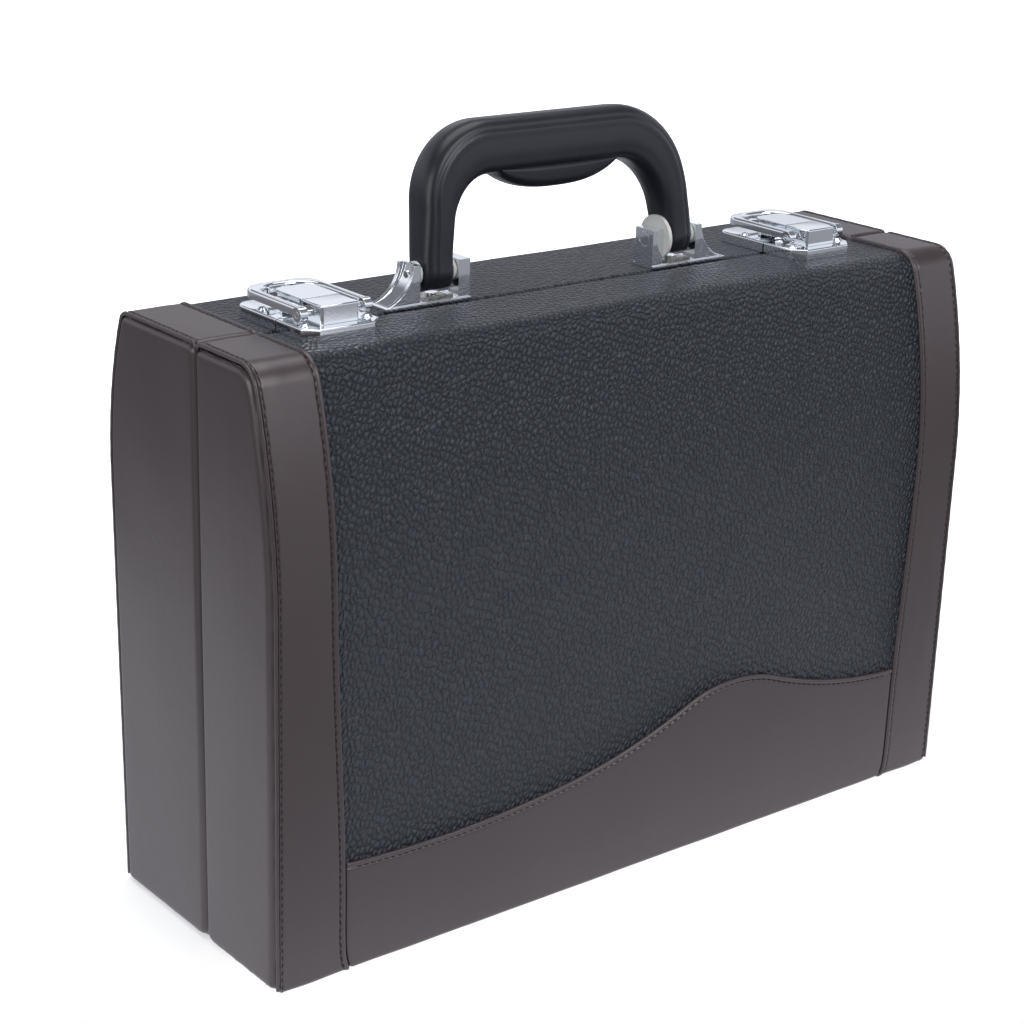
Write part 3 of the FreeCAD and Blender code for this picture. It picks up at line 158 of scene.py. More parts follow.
class Outline:
    """Outline of a half in its side view, as lines and arcs with outward normals.

    A point is read by its distance along the outline. The skin point at height h over the
    outline is the point plus h times the normal.
    """

    def __init__(self, half: Half, seam: float = 0.3, inset: float = 0.0,
                 foot_round: float | None = None, seam_round: float | None = None,
                 under: float | None = None) -> None:
        """Work out the lines and arcs from the seam at the bottom to the seam at the top.

        Args:
            half: Sizes of the half.
            seam: Distance of the outline's straight side from the seam.
            inset: How far the bottom, back and top lie inside the case's outer surface.
            foot_round: Round of the bottom corner, or None for the half's own.
            seam_round: Round at the top of the seam, or None for the half's own.
            under: Inset at the bottom, or None for the same inset.
        """
        self.half = half
        foot_r = half.foot_round if foot_round is None else foot_round
        seam_r = half.seam_round if seam_round is None else seam_round
        lean = math.atan((half.depth - half.foot) / half.bend_height)
        self.lean = lean
        low, high = inset if under is None else under, HEIGHT - inset
        radius, corner = half.bend_radius - inset, half.corner - inset
        bend = (half.depth - half.bend_radius * math.cos(lean),
                half.bend_height + half.bend_radius * math.sin(lean))
        rise = HEIGHT - half.corner - bend[1]
        across = math.sqrt((half.bend_radius - half.corner) ** 2 - rise ** 2)
        turn = (bend[0] + across, HEIGHT - half.corner)
        meet = math.atan2(rise, across)
        share = (1 - math.sin(lean)) / math.cos(lean)
        foot_y = half.foot - inset * share - foot_r * share
        foot_c = (foot_y, low + foot_r)
        side = (half.depth - inset * math.cos(lean), half.bend_height + inset * math.sin(lean))
        relief_c = (seam + half.relief, low + half.relief)
        seam_c = (seam + seam_r, high - seam_r)
        foot_end = (foot_c[0] + foot_r * math.cos(lean), foot_c[1] - foot_r * math.sin(lean))
        half_turn, quarter = math.pi, math.pi / 2
        self.parts = [
            ("lap_low", (seam, relief_c[1] + half.lap), (seam, relief_c[1]), half_turn),
            ("relief", relief_c, half.relief, half_turn, 3 * quarter),
            ("bottom", (relief_c[0], low), (foot_c[0], low), 3 * quarter),
            ("foot", foot_c, foot_r, -quarter, -lean),
            ("side", foot_end, side, -lean),
            ("bend", bend, radius, -lean, meet),
            ("corner", turn, corner, meet, quarter),
            ("top", (turn[0], high), (seam_c[0], high), quarter),
            ("seam_top", seam_c, seam_r, quarter, half_turn),
            ("lap_high", (seam, seam_c[1]), (seam, seam_c[1] - half.lap), half_turn),
        ]
        self.marks: dict[str, tuple[float, float]] = {}
        reach = 0.0
        for part in self.parts:
            length = self._length(part)
            self.marks[part[0]] = (reach, reach + length)
            reach += length
        self.total = reach

    @staticmethod
    def _length(part: tuple) -> float:
        """Length of a line or arc."""
        if len(part) == 5:
            return part[2] * abs(part[4] - part[3])
        return math.dist(part[1], part[2])

    def at(self, run: np.ndarray) -> tuple[np.ndarray, np.ndarray, np.ndarray, np.ndarray]:
        """Points and outward normals at distances along the outline.

        Args:
            run: Distances from the start, of any shape.

        Returns:
            Depth and height of the points, and depth and height parts of the normals.
        """
        run = np.asarray(run, float)
        found = [np.zeros_like(run) for _ in range(4)]
        for index, part in enumerate(self.parts):
            start, end = self.marks[part[0]]
            first, last = index == 0, index == len(self.parts) - 1
            inside = ((run >= start) | first) & ((run < end) | last)
            along = (run[inside] - start) / max(end - start, 1e-9)
            if len(part) == 5:
                angle = part[3] + (part[4] - part[3]) * along
                out_y, out_z = np.cos(angle), np.sin(angle)
                values = (part[1][0] + part[2] * out_y, part[1][1] + part[2] * out_z, out_y, out_z)
            else:
                values = (part[1][0] + (part[2][0] - part[1][0]) * along,
                          part[1][1] + (part[2][1] - part[1][1]) * along,
                          np.full(along.shape, math.cos(part[3])),
                          np.full(along.shape, math.sin(part[3])))
            for array, value in zip(found, values):
                array[inside] = value
        return tuple(found)

    def skin(self, across: np.ndarray, run: np.ndarray, height: np.ndarray) -> np.ndarray:
        """Skin points: the outline's point at run, moved out by height, at a place across.

        Args:
            across: X of each point.
            run: Distance along the outline of each point.
            height: How far each point stands over the outline.

        Returns:
            Points in the frame of the seam, with a last axis of three.
        """
        y, z, out_y, out_z = self.at(run)
        deep = self.half.side * (y + out_y * height)
        return np.stack(np.broadcast_arrays(across, deep, z + out_z * height), axis=-1)

    def stations(self, step: float, arc_step: float, first: str = "lap_low",
                 last: str = "lap_high") -> np.ndarray:
        """Distances along the outline, closer together on its arcs.

        Args:
            step: Largest spacing on lines and on the long bend.
            arc_step: Largest spacing on the small arcs.
            first: Part to start with.
            last: Part to end with.

        Returns:
            Rising distances that include both ends of every part.
        """
        names = [part[0] for part in self.parts]
        runs = []
        for part in self.parts[names.index(first):names.index(last) + 1]:
            start, end = self.marks[part[0]]
            spacing = arc_step if len(part) == 5 and part[0] != "bend" else step
            count = max(1, math.ceil((end - start) / spacing))
            runs.append(np.linspace(start, end, count + 1)[:-1])
        runs.append(np.array([self.marks[last][1]]))
        return np.concatenate(runs)

    def run_at_height(self, height: np.ndarray) -> np.ndarray:
        """Distance along the outline at a height on the straight side."""
        start = self.parts[4][1][1]
        return self.marks["side"][0] + (height - start) / math.cos(self.lean)


# Meshes


def grid_faces(rows: int, columns: int, loop_rows: bool = False, loop_columns: bool = False,
               flip: bool = False) -> np.ndarray:
    """Quads of a grid of vertices stored row by row.

    Args:
        rows: Number of rows.
        columns: Number of columns.
        loop_rows: Whether the last row joins the first.
        loop_columns: Whether the last column joins the first.
        flip: Whether to turn the faces over.

    Returns:
        Vertex numbers, four for each face.
    """
    row = np.arange(rows if loop_rows else rows - 1)[:, None]
    column = np.arange(columns if loop_columns else columns - 1)[None, :]
    below, beside = (row + 1) % rows, (column + 1) % columns
    corners = [row * columns + column, below * columns + column, below * columns + beside,
               row * columns + beside]
    quads = np.stack(np.broadcast_arrays(*corners), axis=-1).reshape(-1, 4)
    return quads[:, ::-1] if flip else quads


def build_mesh(name: str, points: np.ndarray, quads: np.ndarray,
               weld: bool = False) -> bpy.types.Object:
    """Put points and quads into a new smooth object in the row frame.

    Args:
        name: Name of the object.
        points: Points in millimetres in the frame of the seam.
        quads: Vertex numbers, four for each face.
        weld: Whether to merge points that lie on each other.

    Returns:
        The new object, at the origin.
    """
    placed = (np.asarray(points, float).reshape(-1, 3) + (0.0, SEAM_Y, 0.0)) * MM
    mesh = bpy.data.meshes.new(name)
    mesh.vertices.add(len(placed))
    mesh.vertices.foreach_set("co", placed.ravel())
    mesh.loops.add(quads.size)
    mesh.loops.foreach_set("vertex_index", quads.ravel().astype(np.int32))
    mesh.polygons.add(len(quads))
    mesh.polygons.foreach_set("loop_start", np.arange(0, quads.size, 4, dtype=np.int32))
    mesh.update(calc_edges=True)
    if weld:
        work = bmesh.new()
        work.from_mesh(mesh)
        bmesh.ops.remove_doubles(work, verts=work.verts, dist=2e-6)
        bmesh.ops.dissolve_degenerate(work, edges=work.edges, dist=1e-7)
        work.to_mesh(mesh)
        work.free()
    mesh.polygons.foreach_set("use_smooth", np.ones(len(mesh.polygons), bool))
    mesh.update()
    item = bpy.data.objects.new(name, mesh)
    bpy.context.scene.collection.objects.link(item)
    return item


def thicken(item: bpy.types.Object, depth: float) -> None:
    """Give a sheet its thickness inwards, in millimetres."""
    wall = item.modifiers.new("wall", "SOLIDIFY")
    wall.thickness = depth * MM
    wall.offset = -1.0
    wall.use_rim = True


def waves(x: np.ndarray, y: np.ndarray, length: float, seed: int) -> np.ndarray:
    """Soft uneven surface: a sum of eight sine waves with seeded directions and phases.

    Args:
        x: First coordinate in millimetres.
        y: Second coordinate in millimetres.
        length: Typical wave length in millimetres.
        seed: Number that fixes the waves.

    Returns:
        Values between about minus one and one.
    """
    rng = np.random.default_rng(seed)
    total = np.zeros(np.broadcast(x, y).shape)
    for angle, phase, stretch in zip(rng.uniform(0, math.pi, 8), rng.uniform(0, 2 * math.pi, 8),
                                     rng.uniform(0.7, 1.6, 8)):
        k = 2 * math.pi / (length * stretch)
        total += np.sin(k * (np.cos(angle) * x + np.sin(angle) * y) + phase)
    return total / 4


def stitch_points(count: int) -> tuple[np.ndarray, np.ndarray]:
    """One thread stitch as a capsule: rings along it whose radius rises and falls as an ellipse.

    Args:
        count: Number of stitches that share the points.

    Returns:
        Place along, across and above the seam line for each vertex of one stitch, and the quads of
        all stitches.
    """
    rings, around = 7, 6
    along = np.linspace(-1, 1, rings)[:, None] * STITCH_LENGTH / 2
    turn = np.arange(around)[None, :] * 2 * math.pi / around
    swell = THREAD_RADIUS * np.sqrt(np.clip(1 - (2 * along / STITCH_LENGTH) ** 2, 0, 1)) ** 0.6
    local = np.broadcast_arrays(along, swell * np.cos(turn), swell * np.sin(turn))
    quads = grid_faces(rings, around, loop_columns=True)
    every = np.arange(count)[:, None, None] * rings * around + quads[None]
    return np.stack(local, -1).reshape(-1, 3), every.reshape(-1, 4)


def drop_loose_points(item: bpy.types.Object) -> None:
    """Delete the vertices of a mesh that belong to no face."""
    work = bmesh.new()
    work.from_mesh(item.data)
    bmesh.ops.delete(work, geom=[v for v in work.verts if not v.link_faces], context="VERTS")
    work.to_mesh(item.data)
    work.free()


def hand_over(item: bpy.types.Object, material: bpy.types.Material, body: str,
              node: str | None = None) -> None:
    """Give a piece its finish, the body it rides on and the node it stands for.

    Args:
        item: Finished piece.
        material: Finish of the whole piece.
        body: Name of the CAD body.
        node: CAD node that the piece replaces, if there is one.
    """
    item.data.materials.clear()
    item.data.materials.append(material)
    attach(item, body)
    if node:
        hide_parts(node)
    log.info("%s: %d faces", item.name, len(item.data.polygons))


# Materials


def linear(colour: str) -> tuple[float, float, float, float]:
    """Turn an sRGB hex colour into linear red, green, blue and alpha."""
    values = [int(colour[i:i + 2], 16) / 255 for i in (1, 3, 5)]
    return (*[v / 12.92 if v <= 0.04045 else ((v + 0.055) / 1.055) ** 2.4 for v in values], 1.0)


def add(tree: bpy.types.NodeTree, kind: str, inputs: dict | None = None,
        **settings) -> bpy.types.Node:
    """Add one shader node with its settings and its links.

    Args:
        tree: Node tree to add to.
        kind: Type name of the node.
        inputs: Value or output socket for each input, by name or number.
        **settings: Properties of the node.

    Returns:
        The new node.
    """
    node = tree.nodes.new(kind)
    for name, value in settings.items():
        setattr(node, name, value)
    for key, value in (inputs or {}).items():
        if isinstance(value, bpy.types.NodeSocket):
            tree.links.new(value, node.inputs[key])
        else:
            node.inputs[key].default_value = value
    return node


def new_material(name: str) -> tuple[bpy.types.Material, bpy.types.NodeTree, bpy.types.Node]:
    """Start a material with a Principled surface.

    Args:
        name: Name of the material.

    Returns:
        The material, its node tree and its Principled node.
    """
    material = bpy.data.materials.new(name)
    material.use_nodes = True
    tree = material.node_tree
    return material, tree, tree.nodes["Principled BSDF"]


@dataclass(frozen=True)
class PebbledLeatherette:
    """Black PVC-coated cloth, embossed with a pebble grain.

    Gives the eye small domed pebbles, taller than wide and a little slanted, with thin creases
    between them that are darkened by painted shade, and a soft broken sheen. The grain lies in a
    flat pattern that is folded round the case: along X, and up the face and over the top. Sizes
    are in millimetres.
    """

    name: str = "pebbled_black_pvc_leatherette"
    top: str = "#2d333e"
    # Colour of the painted shade in the creases between the pebbles.
    crease: str = "#040506"
    wide: float = 2.15
    tall: float = 3.3
    slant: float = 66.0
    depth: float = 0.62
    roughness: float = 0.31
    wander: float = 1.1

    def pattern(self, tree: bpy.types.NodeTree,
                place: bpy.types.NodeSocket) -> bpy.types.NodeSocket:
        """Flat coordinates of the grain, one unit for each pebble.

        Args:
            tree: Node tree to add to.
            place: Object coordinates.

        Returns:
            Vector socket with the place across and along the pebbles.
        """
        loose = add(tree, "ShaderNodeTexNoise", {"Vector": place, "Scale": 1 / (4.5 * MM),
                                                 "Detail": 1.5})
        centred = add(tree, "ShaderNodeVectorMath", {0: loose.outputs["Color"], 1: (0.5, 0.5, 0.5)},
                      operation="SUBTRACT")
        shift = add(tree, "ShaderNodeVectorMath", {0: centred.outputs[0],
                                                   "Scale": self.wander * MM},
                    operation="SCALE")
        moved = add(tree, "ShaderNodeVectorMath", {0: place, 1: shift.outputs[0]}, operation="ADD")
        parts = add(tree, "ShaderNodeSeparateXYZ", {0: moved.outputs[0]})
        from_seam = add(tree, "ShaderNodeMath", {0: parts.outputs["Y"], 1: SEAM_Y * MM},
                        operation="SUBTRACT")
        away = add(tree, "ShaderNodeMath", {0: from_seam.outputs[0]}, operation="ABSOLUTE")
        folded = add(tree, "ShaderNodeMath", {0: parts.outputs["Z"], 1: away.outputs[0]},
                     operation="SUBTRACT")
        flat = add(tree, "ShaderNodeCombineXYZ", {0: parts.outputs["X"], 1: folded.outputs[0]})
        cosine, sine = math.cos(math.radians(self.slant)), math.sin(math.radians(self.slant))
        across = add(tree, "ShaderNodeVectorMath",
                     {0: flat.outputs[0],
                      1: (sine / (self.wide * MM), -cosine / (self.wide * MM), 0.0)},
                     operation="DOT_PRODUCT")
        along = add(tree, "ShaderNodeVectorMath",
                    {0: flat.outputs[0],
                     1: (cosine / (self.tall * MM), sine / (self.tall * MM), 0.0)},
                    operation="DOT_PRODUCT")
        grain = add(tree, "ShaderNodeCombineXYZ", {0: across.outputs["Value"],
                                                   1: along.outputs["Value"]})
        return grain.outputs[0]

    def build(self) -> bpy.types.Material:
        """Make the material."""
        material, tree, surface = new_material(self.name)
        place = add(tree, "ShaderNodeTexCoord").outputs["Object"]
        flat = self.pattern(tree, place)
        edge = add(tree, "ShaderNodeTexVoronoi", {"Vector": flat, "Scale": 1.0, "Randomness": 0.85},
                   feature="DISTANCE_TO_EDGE", voronoi_dimensions="2D")
        centre = add(tree, "ShaderNodeTexVoronoi", {"Vector": flat, "Scale": 1.0,
                                                    "Randomness": 0.85},
                     voronoi_dimensions="2D")
        wrinkle = add(tree, "ShaderNodeTexVoronoi", {"Vector": flat, "Scale": 2.3,
                                                     "Randomness": 1.0},
                      feature="DISTANCE_TO_EDGE", voronoi_dimensions="2D")
        shoulder = add(tree, "ShaderNodeMapRange", {"Value": edge.outputs["Distance"],
                                                    "From Max": 0.34},
                       interpolation_type="SMOOTHSTEP")
        dome = add(tree, "ShaderNodeMapRange", {"Value": centre.outputs["Distance"],
                                                "From Max": 0.8, "To Min": 1.0, "To Max": 0.0},
                   interpolation_type="SMOOTHSTEP")
        creased = add(tree, "ShaderNodeMapRange", {"Value": wrinkle.outputs["Distance"],
                                                   "From Max": 0.14, "To Max": 0.14})
        fine = add(tree, "ShaderNodeTexNoise", {"Vector": place, "Scale": 1 / (0.6 * MM),
                                                "Detail": 2.0})
        uneven = add(tree, "ShaderNodeTexNoise", {"Vector": place, "Scale": 1 / (8 * MM),
                                                  "Detail": 2.0})
        pebble = add(tree, "ShaderNodeMath", {0: shoulder.outputs[0], 1: dome.outputs[0]},
                     operation="ADD")
        wrinkled = add(tree, "ShaderNodeMath", {0: pebble.outputs[0], 1: creased.outputs[0]},
                       operation="ADD")
        lift = add(tree, "ShaderNodeMath", {0: uneven.outputs["Fac"], 1: 0.7,
                                            2: wrinkled.outputs[0]},
                   operation="MULTIPLY_ADD")
        height = add(tree, "ShaderNodeMath", {0: fine.outputs["Fac"], 1: 0.12, 2: lift.outputs[0]},
                     operation="MULTIPLY_ADD")
        bump = add(tree, "ShaderNodeBump", {"Height": height.outputs[0],
                                            "Distance": self.depth * MM, "Strength": 1.0})
        # Painted shade: towards each pebble's edge the colour darkens from the pebble colour to the
        # crease shade colour, standing in for shade in the creases.
        line = add(tree, "ShaderNodeMapRange", {"Value": edge.outputs["Distance"], "From Max": 0.2},
                   interpolation_type="SMOOTHSTEP")
        colour = add(tree, "ShaderNodeMix", {"Factor": line.outputs[0], "A": linear(self.crease),
                                             "B": linear(self.top)}, data_type="RGBA")
        rough = add(tree, "ShaderNodeMapRange", {"Value": uneven.outputs["Fac"],
                                                 "To Min": self.roughness - 0.08,
                                                 "To Max": self.roughness + 0.1})
        tree.links.new(colour.outputs["Result"], surface.inputs["Base Color"])
        tree.links.new(rough.outputs[0], surface.inputs["Roughness"])
        tree.links.new(bump.outputs[0], surface.inputs["Normal"])
        surface.inputs["Specular IOR Level"].default_value = 0.5
        return material


@dataclass(frozen=True)
class SmoothLeatherette:
    """Brown PU-coated cloth with a nearly smooth surface.

    Gives the eye a satin skin with very fine pores, soft small puckers and slow changes of tone.
    """

    name: str = "smooth_brown_pu_leatherette"
    light: str = "#38282a"
    dark: str = "#2d201f"
    pore: float = 0.6
    roughness: float = 0.36

    def build(self) -> bpy.types.Material:
        """Make the material."""
        material, tree, surface = new_material(self.name)
        place = add(tree, "ShaderNodeTexCoord").outputs["Object"]
        slow = add(tree, "ShaderNodeTexNoise", {"Vector": place, "Scale": 1 / (30 * MM),
                                                "Detail": 3.0})
        pucker = add(tree, "ShaderNodeTexNoise", {"Vector": place, "Scale": 1 / (5 * MM),
                                                  "Detail": 2.5, "Distortion": 0.6})
        pores = add(tree, "ShaderNodeTexVoronoi", {"Vector": place, "Scale": 1 / (self.pore * MM)},
                    feature="SMOOTH_F1")
        fine = add(tree, "ShaderNodeTexNoise", {"Vector": place, "Scale": 1 / (1.1 * MM),
                                                "Detail": 3.0})
        pore_height = add(tree, "ShaderNodeMath", {0: pores.outputs["Distance"], 1: 0.22},
                          operation="MULTIPLY")
        pucker_height = add(tree, "ShaderNodeMath", {0: pucker.outputs["Fac"], 1: 1.1,
                                                     2: pore_height.outputs[0]},
                            operation="MULTIPLY_ADD")
        height = add(tree, "ShaderNodeMath", {0: fine.outputs["Fac"], 1: 0.3,
                                              2: pucker_height.outputs[0]},
                     operation="MULTIPLY_ADD")
        bump = add(tree, "ShaderNodeBump", {"Height": height.outputs[0], "Distance": 0.06 * MM,
                                            "Strength": 1.0})
        colour = add(tree, "ShaderNodeMix", {"Factor": slow.outputs["Fac"], "A": linear(self.dark),
                                             "B": linear(self.light)}, data_type="RGBA")
        rough = add(tree, "ShaderNodeMapRange", {"Value": fine.outputs["Fac"],
                                                 "To Min": self.roughness - 0.05,
                                                 "To Max": self.roughness + 0.07})
        tree.links.new(colour.outputs["Result"], surface.inputs["Base Color"])
        tree.links.new(rough.outputs[0], surface.inputs["Roughness"])
        tree.links.new(bump.outputs[0], surface.inputs["Normal"])
        surface.inputs["Specular IOR Level"].default_value = 1.0
        return material


@dataclass(frozen=True)
class Metal:
    """Bare or plated metal, stamped or cast.

    Gives the eye a mirror or a satin shine, edges that catch the light and faint handling marks.
    """

    name: str
    colour: str
    roughness: float
    edge: float = 0.35
    brushed: float = 0.0

    def build(self) -> bpy.types.Material:
        """Make the material."""
        material, tree, surface = new_material(self.name)
        place = add(tree, "ShaderNodeTexCoord").outputs["Object"]
        stretched = add(tree, "ShaderNodeMapping", {"Vector": place,
                                                    "Scale": (1.0 - 0.95 * self.brushed, 1.0, 1.0)})
        marks = add(tree, "ShaderNodeTexNoise", {"Vector": stretched.outputs[0],
                                                 "Scale": 1 / (1.2 * MM), "Detail": 4.0})
        rough = add(tree, "ShaderNodeMapRange", {"Value": marks.outputs["Fac"], "From Min": 0.35,
                                                 "From Max": 0.75, "To Min": self.roughness * 0.8,
                                                 "To Max": self.roughness * 1.9})
        soft = add(tree, "ShaderNodeBevel", {"Radius": self.edge * MM}, samples=6)
        bump = add(tree, "ShaderNodeBump", {"Height": marks.outputs["Fac"],
                                            "Normal": soft.outputs[0],
                                            "Distance": 0.008 * MM, "Strength": 1.0})
        tree.links.new(rough.outputs[0], surface.inputs["Roughness"])
        tree.links.new(bump.outputs[0], surface.inputs["Normal"])
        surface.inputs["Base Color"].default_value = linear(self.colour)
        surface.inputs["Metallic"].default_value = 1.0
        return material


@dataclass(frozen=True)
class MouldedPlastic:
    """Injection-moulded plastic with a fine spark-eroded grain.

    Gives the eye a satin surface with slow changes of gloss.
    """

    name: str
    colour: str
    roughness: float
    grain: float = 0.5
    depth: float = 0.02
    subsurface: float = 0.0

    def build(self) -> bpy.types.Material:
        """Make the material."""
        material, tree, surface = new_material(self.name)
        place = add(tree, "ShaderNodeTexCoord").outputs["Object"]
        grain = add(tree, "ShaderNodeTexNoise", {"Vector": place, "Scale": 1 / (self.grain * MM),
                                                 "Detail": 2.0})
        slow = add(tree, "ShaderNodeTexNoise", {"Vector": place, "Scale": 1 / (14 * MM),
                                                "Detail": 3.0})
        bump = add(tree, "ShaderNodeBump", {"Height": grain.outputs["Fac"],
                                            "Distance": self.depth * MM, "Strength": 1.0})
        rough = add(tree, "ShaderNodeMapRange", {"Value": slow.outputs["Fac"],
                                                 "To Min": self.roughness - 0.06,
                                                 "To Max": self.roughness + 0.06})
        colour = linear(self.colour)
        paler = tuple(min(1.0, v * 1.25) for v in colour[:3]) + (1.0,)
        tint = add(tree, "ShaderNodeMix", {"Factor": slow.outputs["Fac"], "A": colour, "B": paler},
                   data_type="RGBA")
        tree.links.new(tint.outputs["Result"], surface.inputs["Base Color"])
        tree.links.new(rough.outputs[0], surface.inputs["Roughness"])
        tree.links.new(bump.outputs[0], surface.inputs["Normal"])
        surface.inputs["Subsurface Weight"].default_value = self.subsurface
        surface.inputs["Subsurface Scale"].default_value = 0.8 * MM
        return material


@dataclass(frozen=True)
class Plush:
    """Short dark blue velvet pile glued over foam.

    Gives the eye a dull, soft nap with brushed patches. Real pile is about 0.2 mm thick, too fine
    to show, so its tufts are drawn 0.9 mm wide.
    """

    name: str = "dark_blue_plush"
    light: str = "#27335a"
    dark: str = "#141b33"
    tuft: float = 0.9

    def build(self) -> bpy.types.Material:
        """Make the material."""
        material, tree, surface = new_material(self.name)
        place = add(tree, "ShaderNodeTexCoord").outputs["Object"]
        pile = add(tree, "ShaderNodeTexNoise", {"Vector": place, "Scale": 1 / (self.tuft * MM),
                                                "Detail": 3.0, "Roughness": 0.7})
        brushed = add(tree, "ShaderNodeTexNoise", {"Vector": place, "Scale": 1 / (22 * MM),
                                                   "Detail": 3.0})
        both = add(tree, "ShaderNodeMath", {0: pile.outputs["Fac"], 1: brushed.outputs["Fac"]},
                   operation="MULTIPLY")
        spread = add(tree, "ShaderNodeMapRange", {"Value": both.outputs[0], "From Min": 0.12,
                                                  "From Max": 0.4})
        colour = add(tree, "ShaderNodeMix", {"Factor": spread.outputs[0], "A": linear(self.dark),
                                             "B": linear(self.light)}, data_type="RGBA")
        bump = add(tree, "ShaderNodeBump", {"Height": pile.outputs["Fac"], "Distance": 0.5 * MM,
                                            "Strength": 0.8})
        tree.links.new(colour.outputs["Result"], surface.inputs["Base Color"])
        tree.links.new(bump.outputs[0], surface.inputs["Normal"])
        surface.inputs["Roughness"].default_value = 0.95
        surface.inputs["Sheen Weight"].default_value = 0.55
        surface.inputs["Sheen Roughness"].default_value = 0.4
        surface.inputs["Sheen Tint"].default_value = linear("#8291c8")
        return material


@dataclass(frozen=True)
class Thread:
    """Twisted polyester sewing thread.

    Gives the eye pale slanted bands of painted highlight along the twist. The real twist is too
    fine to show and is drawn at 0.9 mm.
    """

    name: str
    colour: str

    def build(self) -> bpy.types.Material:
        """Make the material."""
        material, tree, surface = new_material(self.name)
        place = add(tree, "ShaderNodeTexCoord").outputs["Object"]
        twist = add(tree, "ShaderNodeTexWave", {"Vector": place, "Scale": 1 / (0.9 * MM),
                                                "Distortion": 1.0}, bands_direction="DIAGONAL")
        base = linear(self.colour)
        # Painted highlight: a paler copy of the thread's colour in slanted bands, standing in for
        # light on the twisted plies.
        pale = tuple(min(1.0, v * 1.8 + 0.004) for v in base[:3]) + (1.0,)
        colour = add(tree, "ShaderNodeMix", {"Factor": twist.outputs["Fac"], "A": base, "B": pale},
                     data_type="RGBA")
        tree.links.new(colour.outputs["Result"], surface.inputs["Base Color"])
        surface.inputs["Roughness"].default_value = 0.6
        return material


@dataclass(frozen=True)
class LinedShell:
    """Plywood shell, lined with plush inside and covered at its rim."""

    name: str = "lined_plywood_shell"
    lining: str = "#182041"
    rim: str = "#2d201f"
    rim_depth: float = 3.2

    def build(self) -> bpy.types.Material:
        """Make the material: the rim's colour near the seam, the lining's elsewhere."""
        material, tree, surface = new_material(self.name)
        place = add(tree, "ShaderNodeTexCoord").outputs["Object"]
        parts = add(tree, "ShaderNodeSeparateXYZ", {0: place})
        from_seam = add(tree, "ShaderNodeMath", {0: parts.outputs["Y"], 1: SEAM_Y * MM},
                        operation="SUBTRACT")
        away = add(tree, "ShaderNodeMath", {0: from_seam.outputs[0]}, operation="ABSOLUTE")
        inside = add(tree, "ShaderNodeMath", {0: away.outputs[0], 1: self.rim_depth * MM},
                     operation="GREATER_THAN")
        pile = add(tree, "ShaderNodeTexNoise", {"Vector": place, "Scale": 1 / (0.8 * MM),
                                                "Detail": 3.0})
        colour = add(tree, "ShaderNodeMix", {"Factor": inside.outputs[0], "A": linear(self.rim),
                                             "B": linear(self.lining)}, data_type="RGBA")
        shade = add(tree, "ShaderNodeMix", {"Factor": pile.outputs["Fac"],
                                            "A": colour.outputs["Result"],
                                            "B": (0.0, 0.0, 0.0, 1.0)}, data_type="RGBA")
        bump = add(tree, "ShaderNodeBump", {"Height": pile.outputs["Fac"], "Distance": 0.3 * MM,
                                            "Strength": 0.6})
        tree.links.new(shade.outputs["Result"], surface.inputs["Base Color"])
        tree.links.new(bump.outputs[0], surface.inputs["Normal"])
        surface.inputs["Roughness"].default_value = 0.85
        return material


class Finishes:
    """The finishes of the case, built once and shared by its pieces."""

    def __init__(self) -> None:
        """Build every finish."""
        self.pebbled = PebbledLeatherette().build()
        self.smooth = SmoothLeatherette().build()
        self.chrome = Metal("chrome_plated_zinc", "#eef1f5", 0.06).build()
        self.steel = Metal("zinc_plated_steel", "#b6b4ad", 0.28).build()
        self.rim = Metal("brushed_aluminium", "#c4c6c9", 0.32, brushed=1.0).build()
        self.handle = MouldedPlastic("satin_black_moulded_plastic", "#181b22", 0.34).build()
        self.nylon = MouldedPlastic("milky_nylon", "#cfd0cc", 0.35, subsurface=0.4).build()
        self.plush = Plush().build()
        self.thread = Thread("dark_polyester_thread", "#1a1415").build()
        self.shell = LinedShell().build()


# Skins of the two halves


def soft_step(distance: np.ndarray, radius: float) -> np.ndarray:
    """Fall of a rounded edge: zero away from the edge, and the full radius down at it.

    Args:
        distance: Distance from the edge.
        radius: Radius of the quarter circle.

    Returns:
        Negative heights.
    """
    inside = np.clip(1 - distance / radius, 0, 1)
    return -radius * (1 - np.sqrt(1 - inside ** 2))


def ridge(place: np.ndarray, centre: float, width: float) -> np.ndarray:
    """Bell-shaped ridge of height one."""
    return np.exp(-((place - centre) / width) ** 2)


